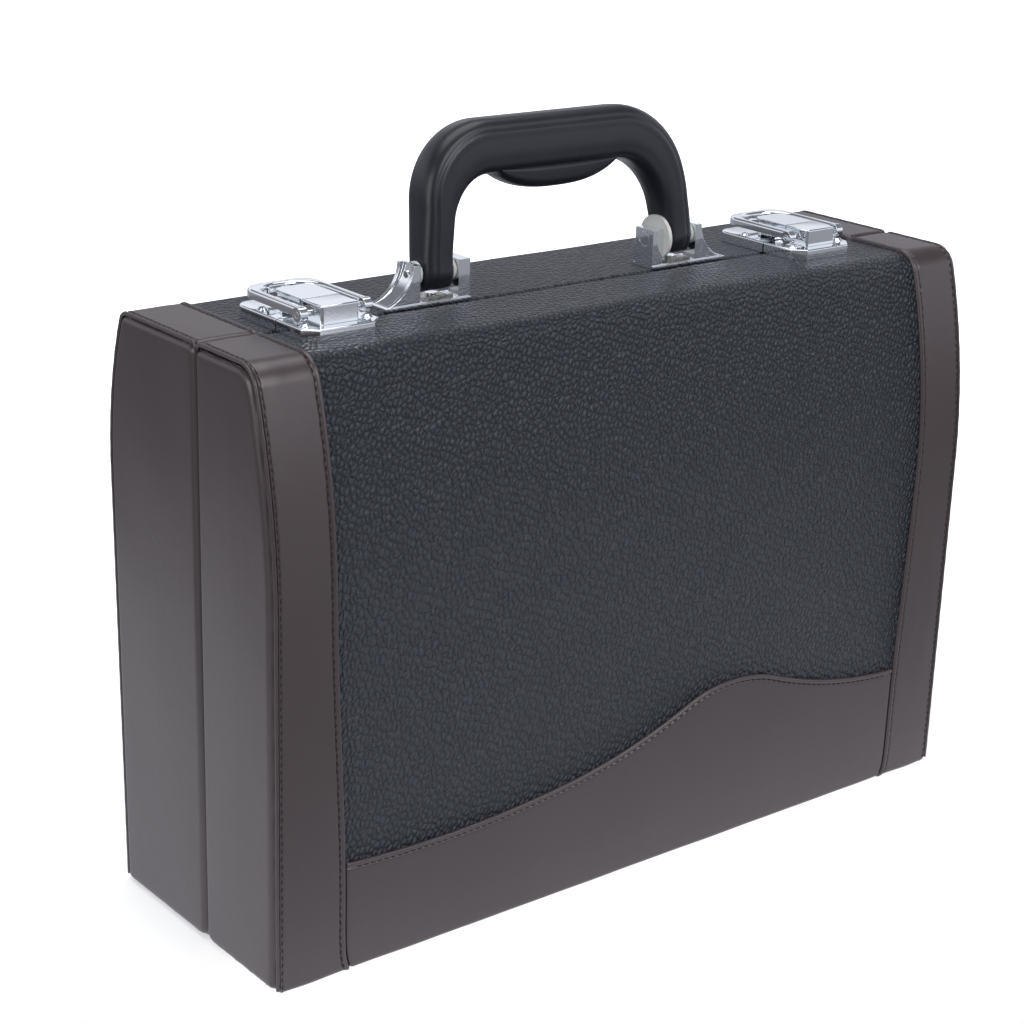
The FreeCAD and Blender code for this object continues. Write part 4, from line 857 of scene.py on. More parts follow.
@dataclass
class Skins:
    """Covering of one half: grained cover, end strips, beads, end panels and their stitching."""

    half: Half
    finishes: Finishes
    cover_drop: float = 0.8
    cover_seam: float = -0.2
    cover_wall: float = 1.0
    core_half: float = 140.0
    notch_share: float = 0.62
    edge_round: float = 0.8
    inner_seam: float = 2.55
    outer_seam: float = 1.0
    notch_half: float = 21.3
    bead_radius: float = 0.75
    bead_drop: float = 0.55
    panel_inset: float = 2.3
    base_inset: float = 1.5
    panel_under: float = 1.0
    panel_thick: float = 3.7
    panel_round: float = 3.0
    panel_foot: float = 0.05
    turning_wide: float = 6.0

    def __post_init__(self) -> None:
        """Work out the outline that the strips follow."""
        self.outline = Outline(self.half)

    def named(self, end: End, word: str) -> str:
        """Name of a piece or node at one end of this half."""
        return f"{self.half.name}_{end.word}_{word}"

    def turned(self, end: End) -> bool:
        """Whether a grid at this end has to be turned over for its faces to point outwards."""
        return self.half.side * end.value > 0

    def brown(self, item: bpy.types.Object, node: str | None = None) -> None:
        """Hand over a piece of smooth brown leatherette."""
        hand_over(item, self.finishes.smooth, self.half.name, node)

    def cover(self) -> None:
        """Grained skin: the outline at the cover's depth, with notches for the hinges."""
        outline = Outline(self.half, seam=self.cover_seam)
        notch_run = outline.marks["relief"][0] + self.notch_share * self.half.relief
        run = np.unique(np.append(outline.stations(3.0, 0.5), notch_run))
        edges = [place + side * self.notch_half for place in HINGE_PLACES for side in (-1, 1)]
        core = np.unique(np.concatenate([np.linspace(-self.core_half, self.core_half, 80), edges]))
        _, z, _, _ = outline.at(run)
        share = np.linspace(0, 1, 6)[1:]
        left, right = (self.core_half + (strip_inner(end, z)[:, None] + 2 - self.core_half) * share
                       for end in End)
        flat = np.broadcast_to(core, (len(run), len(core)))
        x = np.concatenate([-left[:, ::-1], flat, right], axis=1)
        swell = 0.1 * waves(x, run[:, None], 70.0, 4)
        points = outline.skin(x, run[:, None], swell - self.cover_drop)
        quads = grid_faces(*x.shape, flip=self.half.side < 0)
        middle_x = (x[0, 1:] + x[0, :-1]) / 2
        middle_run = (run[1:] + run[:-1]) / 2
        hole = np.zeros((len(middle_run), len(middle_x)), bool)
        for place in HINGE_PLACES:
            near = np.abs(middle_x - place) < self.notch_half
            hole |= (middle_run < notch_run)[:, None] & near[None, :]
        item = build_mesh(self.half.name + "_grained_cover", points, quads[~hole.ravel()])
        drop_loose_points(item)
        thicken(item, self.cover_wall)
        hand_over(item, self.finishes.pebbled, self.half.name,
                  self.half.name + "_cover")

    def strip_height(self, place: np.ndarray, outer: np.ndarray, run: np.ndarray) -> np.ndarray:
        """Height of a strip over the outline.

        The edges fall as quarter circles, a hem rolls along the inner edge, and both seam lines
        are grooves that deepen and fade once for each stitch.

        Args:
            place: Distance from the strip's inner edge.
            outer: Distance from the strip's outer edge.
            run: Distance along the outline.

        Returns:
            Heights in millimetres.
        """
        pull = 0.5 + 0.5 * np.cos(2 * math.pi * run / STITCH_PITCH)
        sway = self.sway(run)
        height = soft_step(place, self.edge_round) + soft_step(outer, self.edge_round)
        height = height + 0.45 * np.sin(math.pi * np.clip(place / HEM_WIDTH, 0, 1)) ** 0.8
        height = height - (0.3 + 0.22 * pull) * ridge(place, self.inner_seam + sway, GROOVE_WIDTH)
        height = height - (0.2 + 0.2 * pull) * ridge(outer, self.outer_seam + sway, GROOVE_WIDTH)
        body = np.clip((place - 4) / 5, 0, 1) * np.clip((outer - 2.5) / 5, 0, 1)
        return height + body * (0.12 + 0.1 * waves(place * 1.4, run * 0.6, 26.0, 7))

    @staticmethod
    def sway(run: np.ndarray) -> np.ndarray:
        """Sideways wander of a seam line, up to 0.2 mm."""
        return 0.09 * np.sin(run * 1.37) + 0.08 * np.sin(run * 0.53 + 1) + 0.04 * np.sin(run * 3.1)

    def strip(self, end: End) -> None:
        """Smooth strip round one end, with hems that turn down at both edges."""
        hem = np.array([0, 0.05, 0.15, 0.3, 0.5, 0.8, 1.15, 1.5, 1.85, 2.1, 2.3, 2.45, 2.6, 2.75,
                        2.95, 3.3, 4, 5.2])
        rim = np.array([0, 0.05, 0.15, 0.3, 0.5, 0.7, 0.85, 1.0, 1.15, 1.3, 1.5, 1.9, 2.6, 3.6,
                        5.2])
        run = self.outline.stations(STITCH_PITCH / 4, STITCH_PITCH / 6)
        _, z, _, _ = self.outline.at(run)
        inner = strip_inner(end, z)[:, None]
        outer = strip_outer(z)[:, None]
        near, far = inner + hem, outer - rim[::-1]
        across = near[:, -1:] + (far[:, :1] - near[:, -1:]) * np.linspace(0, 1, 9)[1:-1]
        across = np.concatenate([near, across, far], axis=1)
        height = self.strip_height(across - inner, outer - across, run[:, None])
        across = np.pad(across, ((0, 0), (1, 1)), mode="edge")
        height = np.pad(height, ((0, 0), (1, 1)), constant_values=((0, 0), (-0.9, -1.5)))
        points = self.outline.skin(end.value * across, run[:, None], height)
        item = build_mesh(self.named(end, "strip"), points,
                          grid_faces(*across.shape, flip=not self.turned(end)))
        thicken(item, SKIN_WALL)
        self.brown(item, self.named(end, "wrap"))

    def stitches(self, end: End) -> None:
        """Two rows of stitches on a strip, each sunk at its ends."""
        start = self.outline.marks["relief"][1]
        stop = self.outline.marks["seam_top"][0]
        first, last = math.ceil(start / STITCH_PITCH), math.floor(stop / STITCH_PITCH)
        centres = (np.arange(first, last) + 0.5) * STITCH_PITCH
        local, quads = stitch_points(2 * len(centres))
        run = centres[:, None] + local[None, :, 0]
        _, z, _, _ = self.outline.at(run)
        aside = local[None, :, 1] + self.sway(run)
        inner = strip_inner(end, z) + self.inner_seam + aside
        across = np.concatenate([inner, strip_outer(z) - self.outer_seam - aside])
        run = np.concatenate([run, run])
        bow = 0.12 - STITCH_DIP * (2 * local[None, :, 0] / STITCH_LENGTH) ** 2
        points = self.outline.skin(end.value * across, run, -0.25 + bow + local[None, :, 2])
        item = build_mesh(self.named(end, "strip_stitches"), points,
                          quads[:, ::-1] if self.turned(end) else quads, weld=True)
        hand_over(item, self.finishes.thread, self.half.name)

    def bead(self, end: End) -> None:
        """Thin bead between strip and end panel: a tube up the back and over the top."""
        run = self.outline.stations(2.5, 0.5, "foot", "seam_top")
        run = run[run > run[0] + 3.5]
        turn = np.arange(10) * 2 * math.pi / 10
        swell = 1 + 0.06 * np.sin(run * 1.9)[:, None]
        across = BEAD_X + self.bead_radius * swell * np.cos(turn)
        height = self.bead_radius * swell * np.sin(turn) - self.bead_drop
        points = self.outline.skin(end.value * across, run[:, None], height)
        middle = self.outline.skin(np.full(2, end.value * BEAD_X), run[[0, -1]],
                                   np.full(2, -self.bead_drop))
        closed = np.repeat(middle[:, None], len(turn), 1)
        points = np.concatenate([closed[:1], points, closed[1:]])
        quads = grid_faces(len(points), len(turn), loop_columns=True, flip=self.turned(end))
        item = build_mesh(self.named(end, "bead"), points, quads, weld=True)
        self.brown(item, self.named(end, "edge_bead"))

    @staticmethod
    def panel_grid(shape: Outline, low: float,
                   high: float) -> tuple[np.ndarray, np.ndarray, np.ndarray]:
        """Grid inside a panel's outline: rows up the panel, each from its seam side to its back.

        The lines lie closer together along the edge.

        Args:
            shape: Outline of the panel.
            low: Height of its lowest row.
            high: Height of its highest row.

        Returns:
            Depth and height of the points, and their distance from the outline.
        """
        run = shape.stations(1.0, 0.25, "relief", "seam_top")
        out_y, out_z, _, _ = shape.at(run)
        edge = np.array([0, 0.02, 0.08, 0.2, 0.4, 0.7, 1.1, 1.6, 2.2, 2.9, 3.8, 5.0, 7.0])
        rows = np.concatenate([low + edge, np.linspace(low + 10, high - 10, 60), high - edge[::-1]])
        split = np.searchsorted(run, shape.marks["bottom"][1])
        bend = np.searchsorted(run, shape.marks["corner"][1])
        seam_low = slice(0, np.searchsorted(run, shape.marks["relief"][1]) + 1)
        seam_high = slice(np.searchsorted(run, shape.marks["seam_top"][0]), len(run))
        near_low = np.interp(rows, out_z[seam_low][::-1], out_y[seam_low][::-1])
        near_high = np.interp(rows, out_z[seam_high][::-1], out_y[seam_high][::-1])
        near = np.where(rows < HEIGHT / 2, near_low, near_high)
        reach = np.interp(rows, out_z[split:bend + 1], out_y[split:bend + 1]) - near
        inner = np.linspace(0, 1, 26)[1:-1]
        share_edge = edge[None, :] / reach[:, None]
        first, last = share_edge[:, -1:], 1 - share_edge[:, -1:]
        middle = first + (last - first) * inner[None, :]
        share = np.concatenate([share_edge, middle, 1 - share_edge[:, ::-1]], axis=1)
        y = near[:, None] + reach[:, None] * share
        z = np.broadcast_to(rows[:, None], y.shape)
        ring_y = np.concatenate([out_y, np.full(400, out_y[0])])
        ring_z = np.concatenate([out_z, np.linspace(out_z[-1], out_z[0], 400)])
        gap = np.sqrt((y[..., None] - ring_y) ** 2 + (z[..., None] - ring_z) ** 2).min(axis=-1)
        gap[0], gap[-1], gap[:, 0], gap[:, -1] = 0, 0, 0, 0
        return y, z, gap

    def end_panel(self, end: End) -> None:
        """Padded panel, raised from its edge along a quarter circle and then a slow crown."""
        inset = self.panel_inset if self.half is LID else self.base_inset
        shape = Outline(self.half, inset=inset, foot_round=self.panel_round,
                        seam_round=self.panel_round, under=self.panel_under)
        y, z, gap = self.panel_grid(shape, self.panel_under, HEIGHT - inset)
        radius = self.panel_round
        roll = np.sqrt(radius ** 2 - (radius - np.clip(gap, 0, radius)) ** 2)
        crown = 0.45 * (1 - np.exp(-np.clip(gap - radius, 0, None) / 14))
        soft = 0.14 * waves(y, z, 60.0, 11 + end.value) * np.clip(gap / 12, 0, 1)
        x = SHELL_HALF + self.panel_thick - radius - 0.15 + roll + crown + soft
        front = np.stack([end.value * x, self.half.side * y, z], axis=-1)
        skirt = np.pad(front, ((1, 1), (1, 1), (0, 0)), mode="edge")
        foot = end.value * (SHELL_HALF + self.panel_foot)
        for part in (skirt[0], skirt[-1], skirt[:, 0], skirt[:, -1]):
            part[..., 0] = foot
        back = skirt.copy()
        back[..., 0] = foot
        size, turned = skirt.shape[:2], self.turned(end)
        quads = [grid_faces(*size, flip=turned),
                 grid_faces(*size, flip=not turned) + math.prod(size)]
        item = build_mesh(self.named(end, "padded_panel"),
                          np.concatenate([skirt.reshape(-1, 3), back.reshape(-1, 3)]),
                          np.concatenate(quads), weld=True)
        self.brown(item, self.named(end, "end_panel"))

    def rim_strip(self, end: End) -> None:
        """Turned-in leatherette over the shell's edge at one end: a flat band with rolled sides."""
        inner = SHELL_HALF - self.turning_wide
        place = np.array([0, 0, 0.15, 0.5, 1.0, 3.0, 5.0, 5.5, 5.85, 6.0, 6.0])
        height = np.array([0, 1.2, 1.65, 1.95, 2.0, 2.0, 2.0, 1.95, 1.65, 1.2, 0])
        run = np.linspace(self.half.relief + self.half.lap + 0.4,
                          HEIGHT - self.half.seam_round - 4.4, 60)
        y = self.half.side * (2.45 - height * 0.8)
        x = end.value * (inner + place)
        points = np.stack(np.broadcast_arrays(x[None, :], y[None, :], run[:, None]), axis=-1)
        quads = grid_faces(len(run), len(place), loop_columns=True, flip=not self.turned(end))
        self.brown(build_mesh(self.named(end, "rim_turning"), points, quads, weld=True))

    def build(self) -> None:
        """Build every skin of this half."""
        self.cover()
        for end in End:
            self.strip(end)
            self.stitches(end)
            self.bead(end)
            self.end_panel(end)
            self.rim_strip(end)


@dataclass
class WavePanel:
    """Brown panel over the lower part of the lid, with a wavy hemmed edge."""

    finishes: Finishes
    half_length: float = 152.0
    start_height: float = 47.2
    overrun: float = 2.0
    shares: tuple[float, ...] = (-1, -0.26, 0.156, 0.489, 1)
    slopes: tuple[float, ...] = (-5, 8, 23.5, -21, -1)
    fold: float = 20.0
    seam: float = 2.5

    def edge(self, x: np.ndarray) -> tuple[np.ndarray, np.ndarray]:
        """Wavy line: a chain of tangent arcs between stations, each with a slope.

        Args:
            x: Places along the case.

        Returns:
            Height and slope angle of the line at each place.
        """
        reach = self.half_length + self.overrun
        height = np.zeros_like(x)
        angle = np.zeros_like(x)
        start = self.start_height
        for index in range(len(self.shares) - 1):
            x0, x1 = self.shares[index] * reach, self.shares[index + 1] * reach
            a0, a1 = math.radians(self.slopes[index]), math.radians(self.slopes[index + 1])
            inside = (x >= x0) & (x <= x1)
            sine = math.sin(a0) + (x[inside] - x0) / (x1 - x0) * (math.sin(a1) - math.sin(a0))
            radius = (x1 - x0) / (math.sin(a1) - math.sin(a0))
            height[inside] = start + radius * (math.cos(a0) - np.sqrt(1 - sine ** 2))
            angle[inside] = np.arcsin(sine)
            start += radius * (math.cos(a0) - math.cos(a1))
        return height, angle

    def build(self) -> None:
        """Build the panel and its row of stitches."""
        outline = Outline(LID)
        x = np.arange(-self.half_length, self.half_length + 0.1, STITCH_PITCH / 4)
        top_run = outline.run_at_height(self.edge(x)[0])
        low_run = outline.marks["bottom"][1] - self.fold
        hem = np.array([0, 0.05, 0.15, 0.3, 0.5, 0.8, 1.15, 1.5, 1.85, 2.1, 2.3, 2.45, 2.6, 2.8,
                        3.2, 4.0, 6.0])
        foot = outline.marks["foot"]
        lower = np.concatenate([np.linspace(low_run, foot[0], 6)[:-1], np.linspace(*foot, 7)])
        share = np.linspace(0, 1, 14)[1:-1]
        upper = top_run[None, :] - hem[::-1][:, None]
        middle = foot[1] + (upper[0][None, :] - foot[1]) * share[:, None]
        run = np.concatenate([np.repeat(lower[:, None], len(x), 1), middle, upper])
        gap = top_run[None, :] - run
        pull = 0.55 + 0.45 * np.cos(2 * math.pi * x / STITCH_PITCH)[None, :]
        rolled = 0.42 * np.sin(math.pi * np.clip(gap / HEM_WIDTH, 0, 1)) ** 0.8
        height = soft_step(gap, 0.75) + rolled
        height = height - (0.3 + 0.22 * pull) * ridge(gap, self.seam, GROOVE_WIDTH)
        ends = np.minimum(x - x[0], x[-1] - x)[None, :]
        uneven = 0.1 * waves(x[None, :], run, 45.0, 3) * np.clip(gap / 20, 0, 1)
        height = height - 0.6 * np.exp(-ends / 0.5) + uneven
        height = np.concatenate([height, np.full((1, len(x)), -1.3)])
        run = np.concatenate([run, run[-1:]])
        points = outline.skin(self.fitted(outline, x[None, :], run), run, height)
        item = build_mesh("lid_wave_skin", points, grid_faces(len(run), len(x), flip=True))
        thicken(item, SKIN_WALL)
        hand_over(item, self.finishes.smooth, "lid", "lid_wave_panel")
        self.stitches(outline)

    def fitted(self, outline: Outline, x: np.ndarray, run: np.ndarray) -> np.ndarray:
        """Stretch places along the panel so that its ends follow the strips' inner edges."""
        _, z, _, _ = outline.at(run)
        reach = [(strip_inner(end, z) - 0.15) / self.half_length for end in End]
        return x * np.where(x < 0, reach[0], reach[1])

    def stitches(self, outline: Outline) -> None:
        """Row of stitches under the hem, each along the slope of the line."""
        last = math.floor(self.half_length / STITCH_PITCH)
        centres = (np.arange(-last + 1, last - 1) + 0.5) * STITCH_PITCH
        top, slope = self.edge(centres)
        local, quads = stitch_points(len(centres))
        along, across = local[None, :, 0], local[None, :, 1]
        cosine, sine = np.cos(slope)[:, None], np.sin(slope)[:, None]
        x = centres[:, None] + along * cosine - across * sine
        seam_run = outline.run_at_height(top)[:, None] - self.seam / cosine
        run = seam_run + along * sine + across * cosine
        height = -0.12 - STITCH_DIP * (2 * along / STITCH_LENGTH) ** 2 + local[None, :, 2]
        points = outline.skin(self.fitted(outline, x, run), run, height)
        item = build_mesh("lid_wave_stitches", points, quads[:, ::-1], weld=True)
        hand_over(item, self.finishes.thread, "lid")


# Handle


@dataclass
class Handle:
    """Moulded handle with a grooved grip and a bulged finger pad, drawn about its pivot axis."""

    finishes: Finishes
    half_width: float = 69.2
    outer_waist: tuple[float, float] = (2.2, 2.6)
    inner_waist: tuple[float, float] = (3.0, 2.6)
    leg_width: float = 14.5
    top: float = 56.4
    grip_height: float = 22.0
    thick: float = 19.0
    outer_round: tuple[float, float] = (31.0, 36.5)
    inner_round: tuple[float, float] = (17.0, 22.0)
    end_radius: float = 7.6
    taper: float = 17.0
    groove_in: float = 4.6
    lean: float = 8.0
    shift: float = -7.8
    pivot_y: float = 7.0
    pivot_z: float = 254.2

    def place(self, points: np.ndarray) -> np.ndarray:
        """Turn points by the lean about the pivot and move them to the top of the case."""
        angle = math.radians(self.lean)
        y = points[..., 1] * math.cos(angle) + points[..., 2] * math.sin(angle)
        z = -points[..., 1] * math.sin(angle) + points[..., 2] * math.cos(angle)
        return np.stack([points[..., 0] + self.shift, y + self.pivot_y, z + self.pivot_z], axis=-1)

    def arch(self, half: float, top: float, turn: float, share: np.ndarray) -> np.ndarray:
        """Arch of two legs, two quarter circles and a straight top.

        Args:
            half: Half width of the arch.
            top: Height of its straight top.
            turn: Radius of its corners.
            share: Stations: 0 to 1 up the right leg, 1 to 2 round the corner, 2 to 3 to the middle.

        Returns:
            X and Z of the points of the right half.
        """
        leg, bend, flat = np.clip(share, 0, 1), np.clip(share - 1, 0, 1), np.clip(share - 2, 0, 1)
        angle = bend * math.pi / 2
        low = -self.end_radius
        x = half - turn * (1 - np.cos(angle)) - flat * (half - turn)
        z = low + leg * (top - turn - low) + turn * np.sin(angle)
        return np.stack([x, z], axis=-1)

    @staticmethod
    def drawn_in(points: np.ndarray, waist: float) -> np.ndarray:
        """Draw the right half of an arch in towards the middle, from nothing at the pivot.

        Args:
            points: X and Z of the points.
            waist: How far the leg moves in.

        Returns:
            The moved points.
        """
        rise = ease(points[:, 1] / 30) * np.clip(points[:, 0] / 45, 0, 1)
        return points - np.stack([waist * rise, 0 * rise], axis=-1)

    def whole_arch(self, half: float, top: float, turn: tuple[float, float],
                   waist: tuple[float, float], share: np.ndarray) -> np.ndarray:
        """Arch from the right leg's end to the left leg's end.

        Args:
            half: Half width of the arch.
            top: Height of its straight top.
            turn: Radius of the left and the right corner.
            waist: How far the left and the right leg are drawn in.
            share: Stations of one half, as for arch.

        Returns:
            X and Z of the points.
        """
        left = self.drawn_in(self.arch(half, top, turn[0], share), waist[0])
        right = self.drawn_in(self.arch(half, top, turn[1], share), waist[1])
        return np.concatenate([right, left[-2::-1] * (-1.0, 1.0)])

    def section(self, count: int) -> tuple[np.ndarray, np.ndarray]:
        """Rounded rectangle of half size one: signed powers of the turn's cosine and sine.

        Args:
            count: Number of points round it.

        Returns:
            Place across and place along the thickness, from minus one to one.
        """
        turn = np.arange(count) * 2 * math.pi / count + math.pi / count
        power = 0.62
        across = np.sign(np.cos(turn)) * np.abs(np.cos(turn)) ** power
        deep = np.sign(np.sin(turn)) * np.abs(np.sin(turn)) ** power
        return across, deep

    def grip(self) -> None:
        """Grip: a rounded section carried between an outer and an inner arch."""
        share = np.concatenate([np.linspace(0, 0.35, 18), np.linspace(0.4, 1, 9)[:-1],
                                np.linspace(1, 2, 26)[:-1], np.linspace(2, 3, 14)])
        outer = self.whole_arch(self.half_width, self.top, self.outer_round, self.outer_waist,
                                share)
        inner = self.whole_arch(self.half_width - self.leg_width, self.top - self.grip_height,
                                self.inner_round, self.inner_waist, share)
        across, deep = self.section(72)
        middle, reach = (outer + inner) / 2, (outer - inner) / 2
        width = np.linalg.norm(reach, axis=1)
        height = middle[:, 1]
        rising = ease(height / self.taper)
        wider = np.clip((height - 12) / (self.top - self.grip_height / 2 - 12), 0, 1)
        thick = self.end_radius + 0.6 * rising + (self.thick / 2 - 0.6 - self.end_radius) * wider
        below = np.clip(-height / self.end_radius, 0, 1)
        thick = thick * np.sqrt(np.clip(1 - below ** 2, 0, 1))
        plane = middle[:, None, :] + reach[:, None, :] * across[None, :, None]
        from_edge = (1 - across)[None, :] * width[:, None]
        fade = np.clip((height + self.end_radius) / 6, 0, 1)[:, None]
        groove = 0.55 * ridge(from_edge, self.groove_in, 0.55) * fade
        swell = 0.35 * ridge(from_edge, self.groove_in + 1.6, 0.9) * fade
        y = thick[:, None] * deep[None, :]
        flatness = np.clip((np.abs(deep) - 0.7) / 0.3, 0, 1)[None, :]
        y = y - np.sign(y) * (groove - swell) * flatness
        points = np.stack([plane[..., 0], y, plane[..., 1]], axis=-1)
        tips = points[[0, -1]].copy()
        tips[..., 1] = 0
        points = np.concatenate([tips[:1], points, tips[1:]])
        item = build_mesh("grooved_grip", self.place(points),
                          grid_faces(len(points), len(across), loop_columns=True), weld=True)
        hand_over(item, self.finishes.handle, "handle", "handle_grip")

    def finger_pad(self) -> None:
        """Finger pad: half rings under the grip whose drop follows a flat-bottomed bow."""
        half, drop, thick = 29.5, 7.8, 7.4
        x = half * np.sin(np.linspace(-math.pi / 2, math.pi / 2, 61))
        depth = drop * np.clip(1 - np.abs(x / half) ** 2.6, 0, 1) ** 0.75
        turn = np.linspace(0, math.pi, 25)
        side = np.sign(np.cos(turn)) * np.abs(np.cos(turn)) ** 0.7
        down = np.abs(np.sin(turn)) ** 0.75
        under = self.top - self.grip_height + 1.2
        y = (thick * (1 - 0.12 * (x / half) ** 2))[:, None] * side[None, :]
        z = under - (depth[:, None] + 1.2) * down[None, :]
        points = np.stack(np.broadcast_arrays(x[:, None], y, z), axis=-1)
        item = build_mesh("bulged_finger_pad", self.place(points),
                          grid_faces(len(x), len(turn), loop_columns=True, flip=True), weld=True)
        hand_over(item, self.finishes.handle, "handle", "handle_finger_pad")

    def build(self) -> None:
        """Build the grip and the finger pad."""
        self.grip()
        self.finger_pad()


# Inside


@dataclass
class Inside:
    """Plush-covered block in the base and pad in the lid."""

    finishes: Finishes
    nodes: dict

    def copy_of(self, node: str, name: str, voxel: float, smooth: int) -> bpy.types.Object:
        """Copy of a CAD solid with soft edges: merged, remeshed to even squares and smoothed.

        Args:
            node: CAD node to copy.
            name: Name of the new piece.
            voxel: Size of the squares in millimetres.
            smooth: Number of smoothing passes.

        Returns:
            The new object.
        """
        item = bpy.data.objects.new(name, self.nodes[node].data.copy())
        bpy.context.scene.collection.objects.link(item)
        work = bmesh.new()
        work.from_mesh(item.data)
        bmesh.ops.remove_doubles(work, verts=work.verts, dist=1e-5)
        work.to_mesh(item.data)
        work.free()
        remesh = item.modifiers.new("even", "REMESH")
        remesh.mode = "VOXEL"
        remesh.voxel_size = voxel * MM
        soft = item.modifiers.new("soft", "SMOOTH")
        soft.factor = 0.5
        soft.iterations = smooth
        self.settle(item)
        return item

    @staticmethod
    def settle(item: bpy.types.Object) -> None:
        """Turn an object's modifiers into its own mesh, smooth shaded."""
        bpy.context.view_layer.update()
        ready = item.evaluated_get(bpy.context.evaluated_depsgraph_get())
        mesh = bpy.data.meshes.new_from_object(ready)
        item.modifiers.clear()
        item.data = mesh
        mesh.polygons.foreach_set("use_smooth", np.ones(len(mesh.polygons), bool))
        mesh.update()

    def block(self) -> None:
        """Fitted block: the CAD block with every edge softened as pile over foam."""
        item = self.copy_of("base_insert", "fitted_plush_block", 2.4, 3)
        hand_over(item, self.finishes.plush, "base", "base_insert")

    def pad(self) -> None:
        item = self.copy_of("lid_pad", "stuffed_lid_pad", 5.0, 2)
        self.swell(item)
        hand_over(item, self.finishes.plush, "lid", "lid_pad")

    def swell(self, item: bpy.types.Object, pressure: float = 3.0, cap: float = 3.0) -> None:
        """Inflate a closed piece a little and keep the result.

        Args:
            item: Piece to inflate.
            pressure: Pressure of the simulation.
            cap: Most that a point may move, in millimetres.
        """
        start = np.zeros(len(item.data.vertices) * 3)
        item.data.vertices.foreach_get("co", start)
        cloth = item.modifiers.new("air", "CLOTH")
        cloth.settings.use_pressure = True
        cloth.settings.uniform_pressure_force = pressure
        cloth.settings.effector_weights.gravity = 0.0
        scene = bpy.context.scene
        for frame in range(1, 21):
            scene.frame_set(frame)
        ready = item.evaluated_get(bpy.context.evaluated_depsgraph_get())
        end = np.zeros(len(start))
        ready.data.vertices.foreach_get("co", end)
        scene.frame_set(1)
        item.modifiers.clear()
        move = (end - start).reshape(-1, 3)
        length = np.linalg.norm(move, axis=1, keepdims=True)
        move *= np.clip(length, 0, cap * MM) / np.maximum(length, 1e-9)
        item.data.vertices.foreach_set("co", (start.reshape(-1, 3) + move).ravel())
        item.data.update()

    def build(self) -> None:
        """Build the block and the pad."""
        self.block()
        self.pad()


# Pieces that keep their CAD shape


@dataclass
class Hardware:
    """Latches, mounts, hinges and other pieces that keep their CAD shape and get a finish."""

    finishes: Finishes
    nodes: dict

    def dress(self) -> None:
        """Give every shown CAD node the finish of its kind."""
        kinds = (("shell", self.finishes.shell), ("tongue", self.finishes.rim),
                 ("hinge", self.finishes.steel), ("spring", self.finishes.steel),
                 ("bush", self.finishes.steel), ("washer", self.finishes.nylon),
                 ("", self.finishes.chrome))
        for name, item in self.nodes.items():
            if item.hide_render:
                continue
            finish = next(material for word, material in kinds if word in name)
            item.data.materials.clear()
            item.data.materials.append(finish)
            self.round_off(item)
            log.info("%s: %s", name, finish.name)

    @staticmethod
    def round_off(item: bpy.types.Object) -> None:
        """Join the loose triangles for shading: smooth over small angles, sharp over large ones."""
        item.data.polygons.foreach_set("use_smooth", np.ones(len(item.data.polygons), bool))
        joined = item.modifiers.new("joined", "WELD")
        joined.merge_threshold = 1e-6
        split = item.modifiers.new("edges", "EDGE_SPLIT")
        split.split_angle = math.radians(32)


# Camera, floor and light


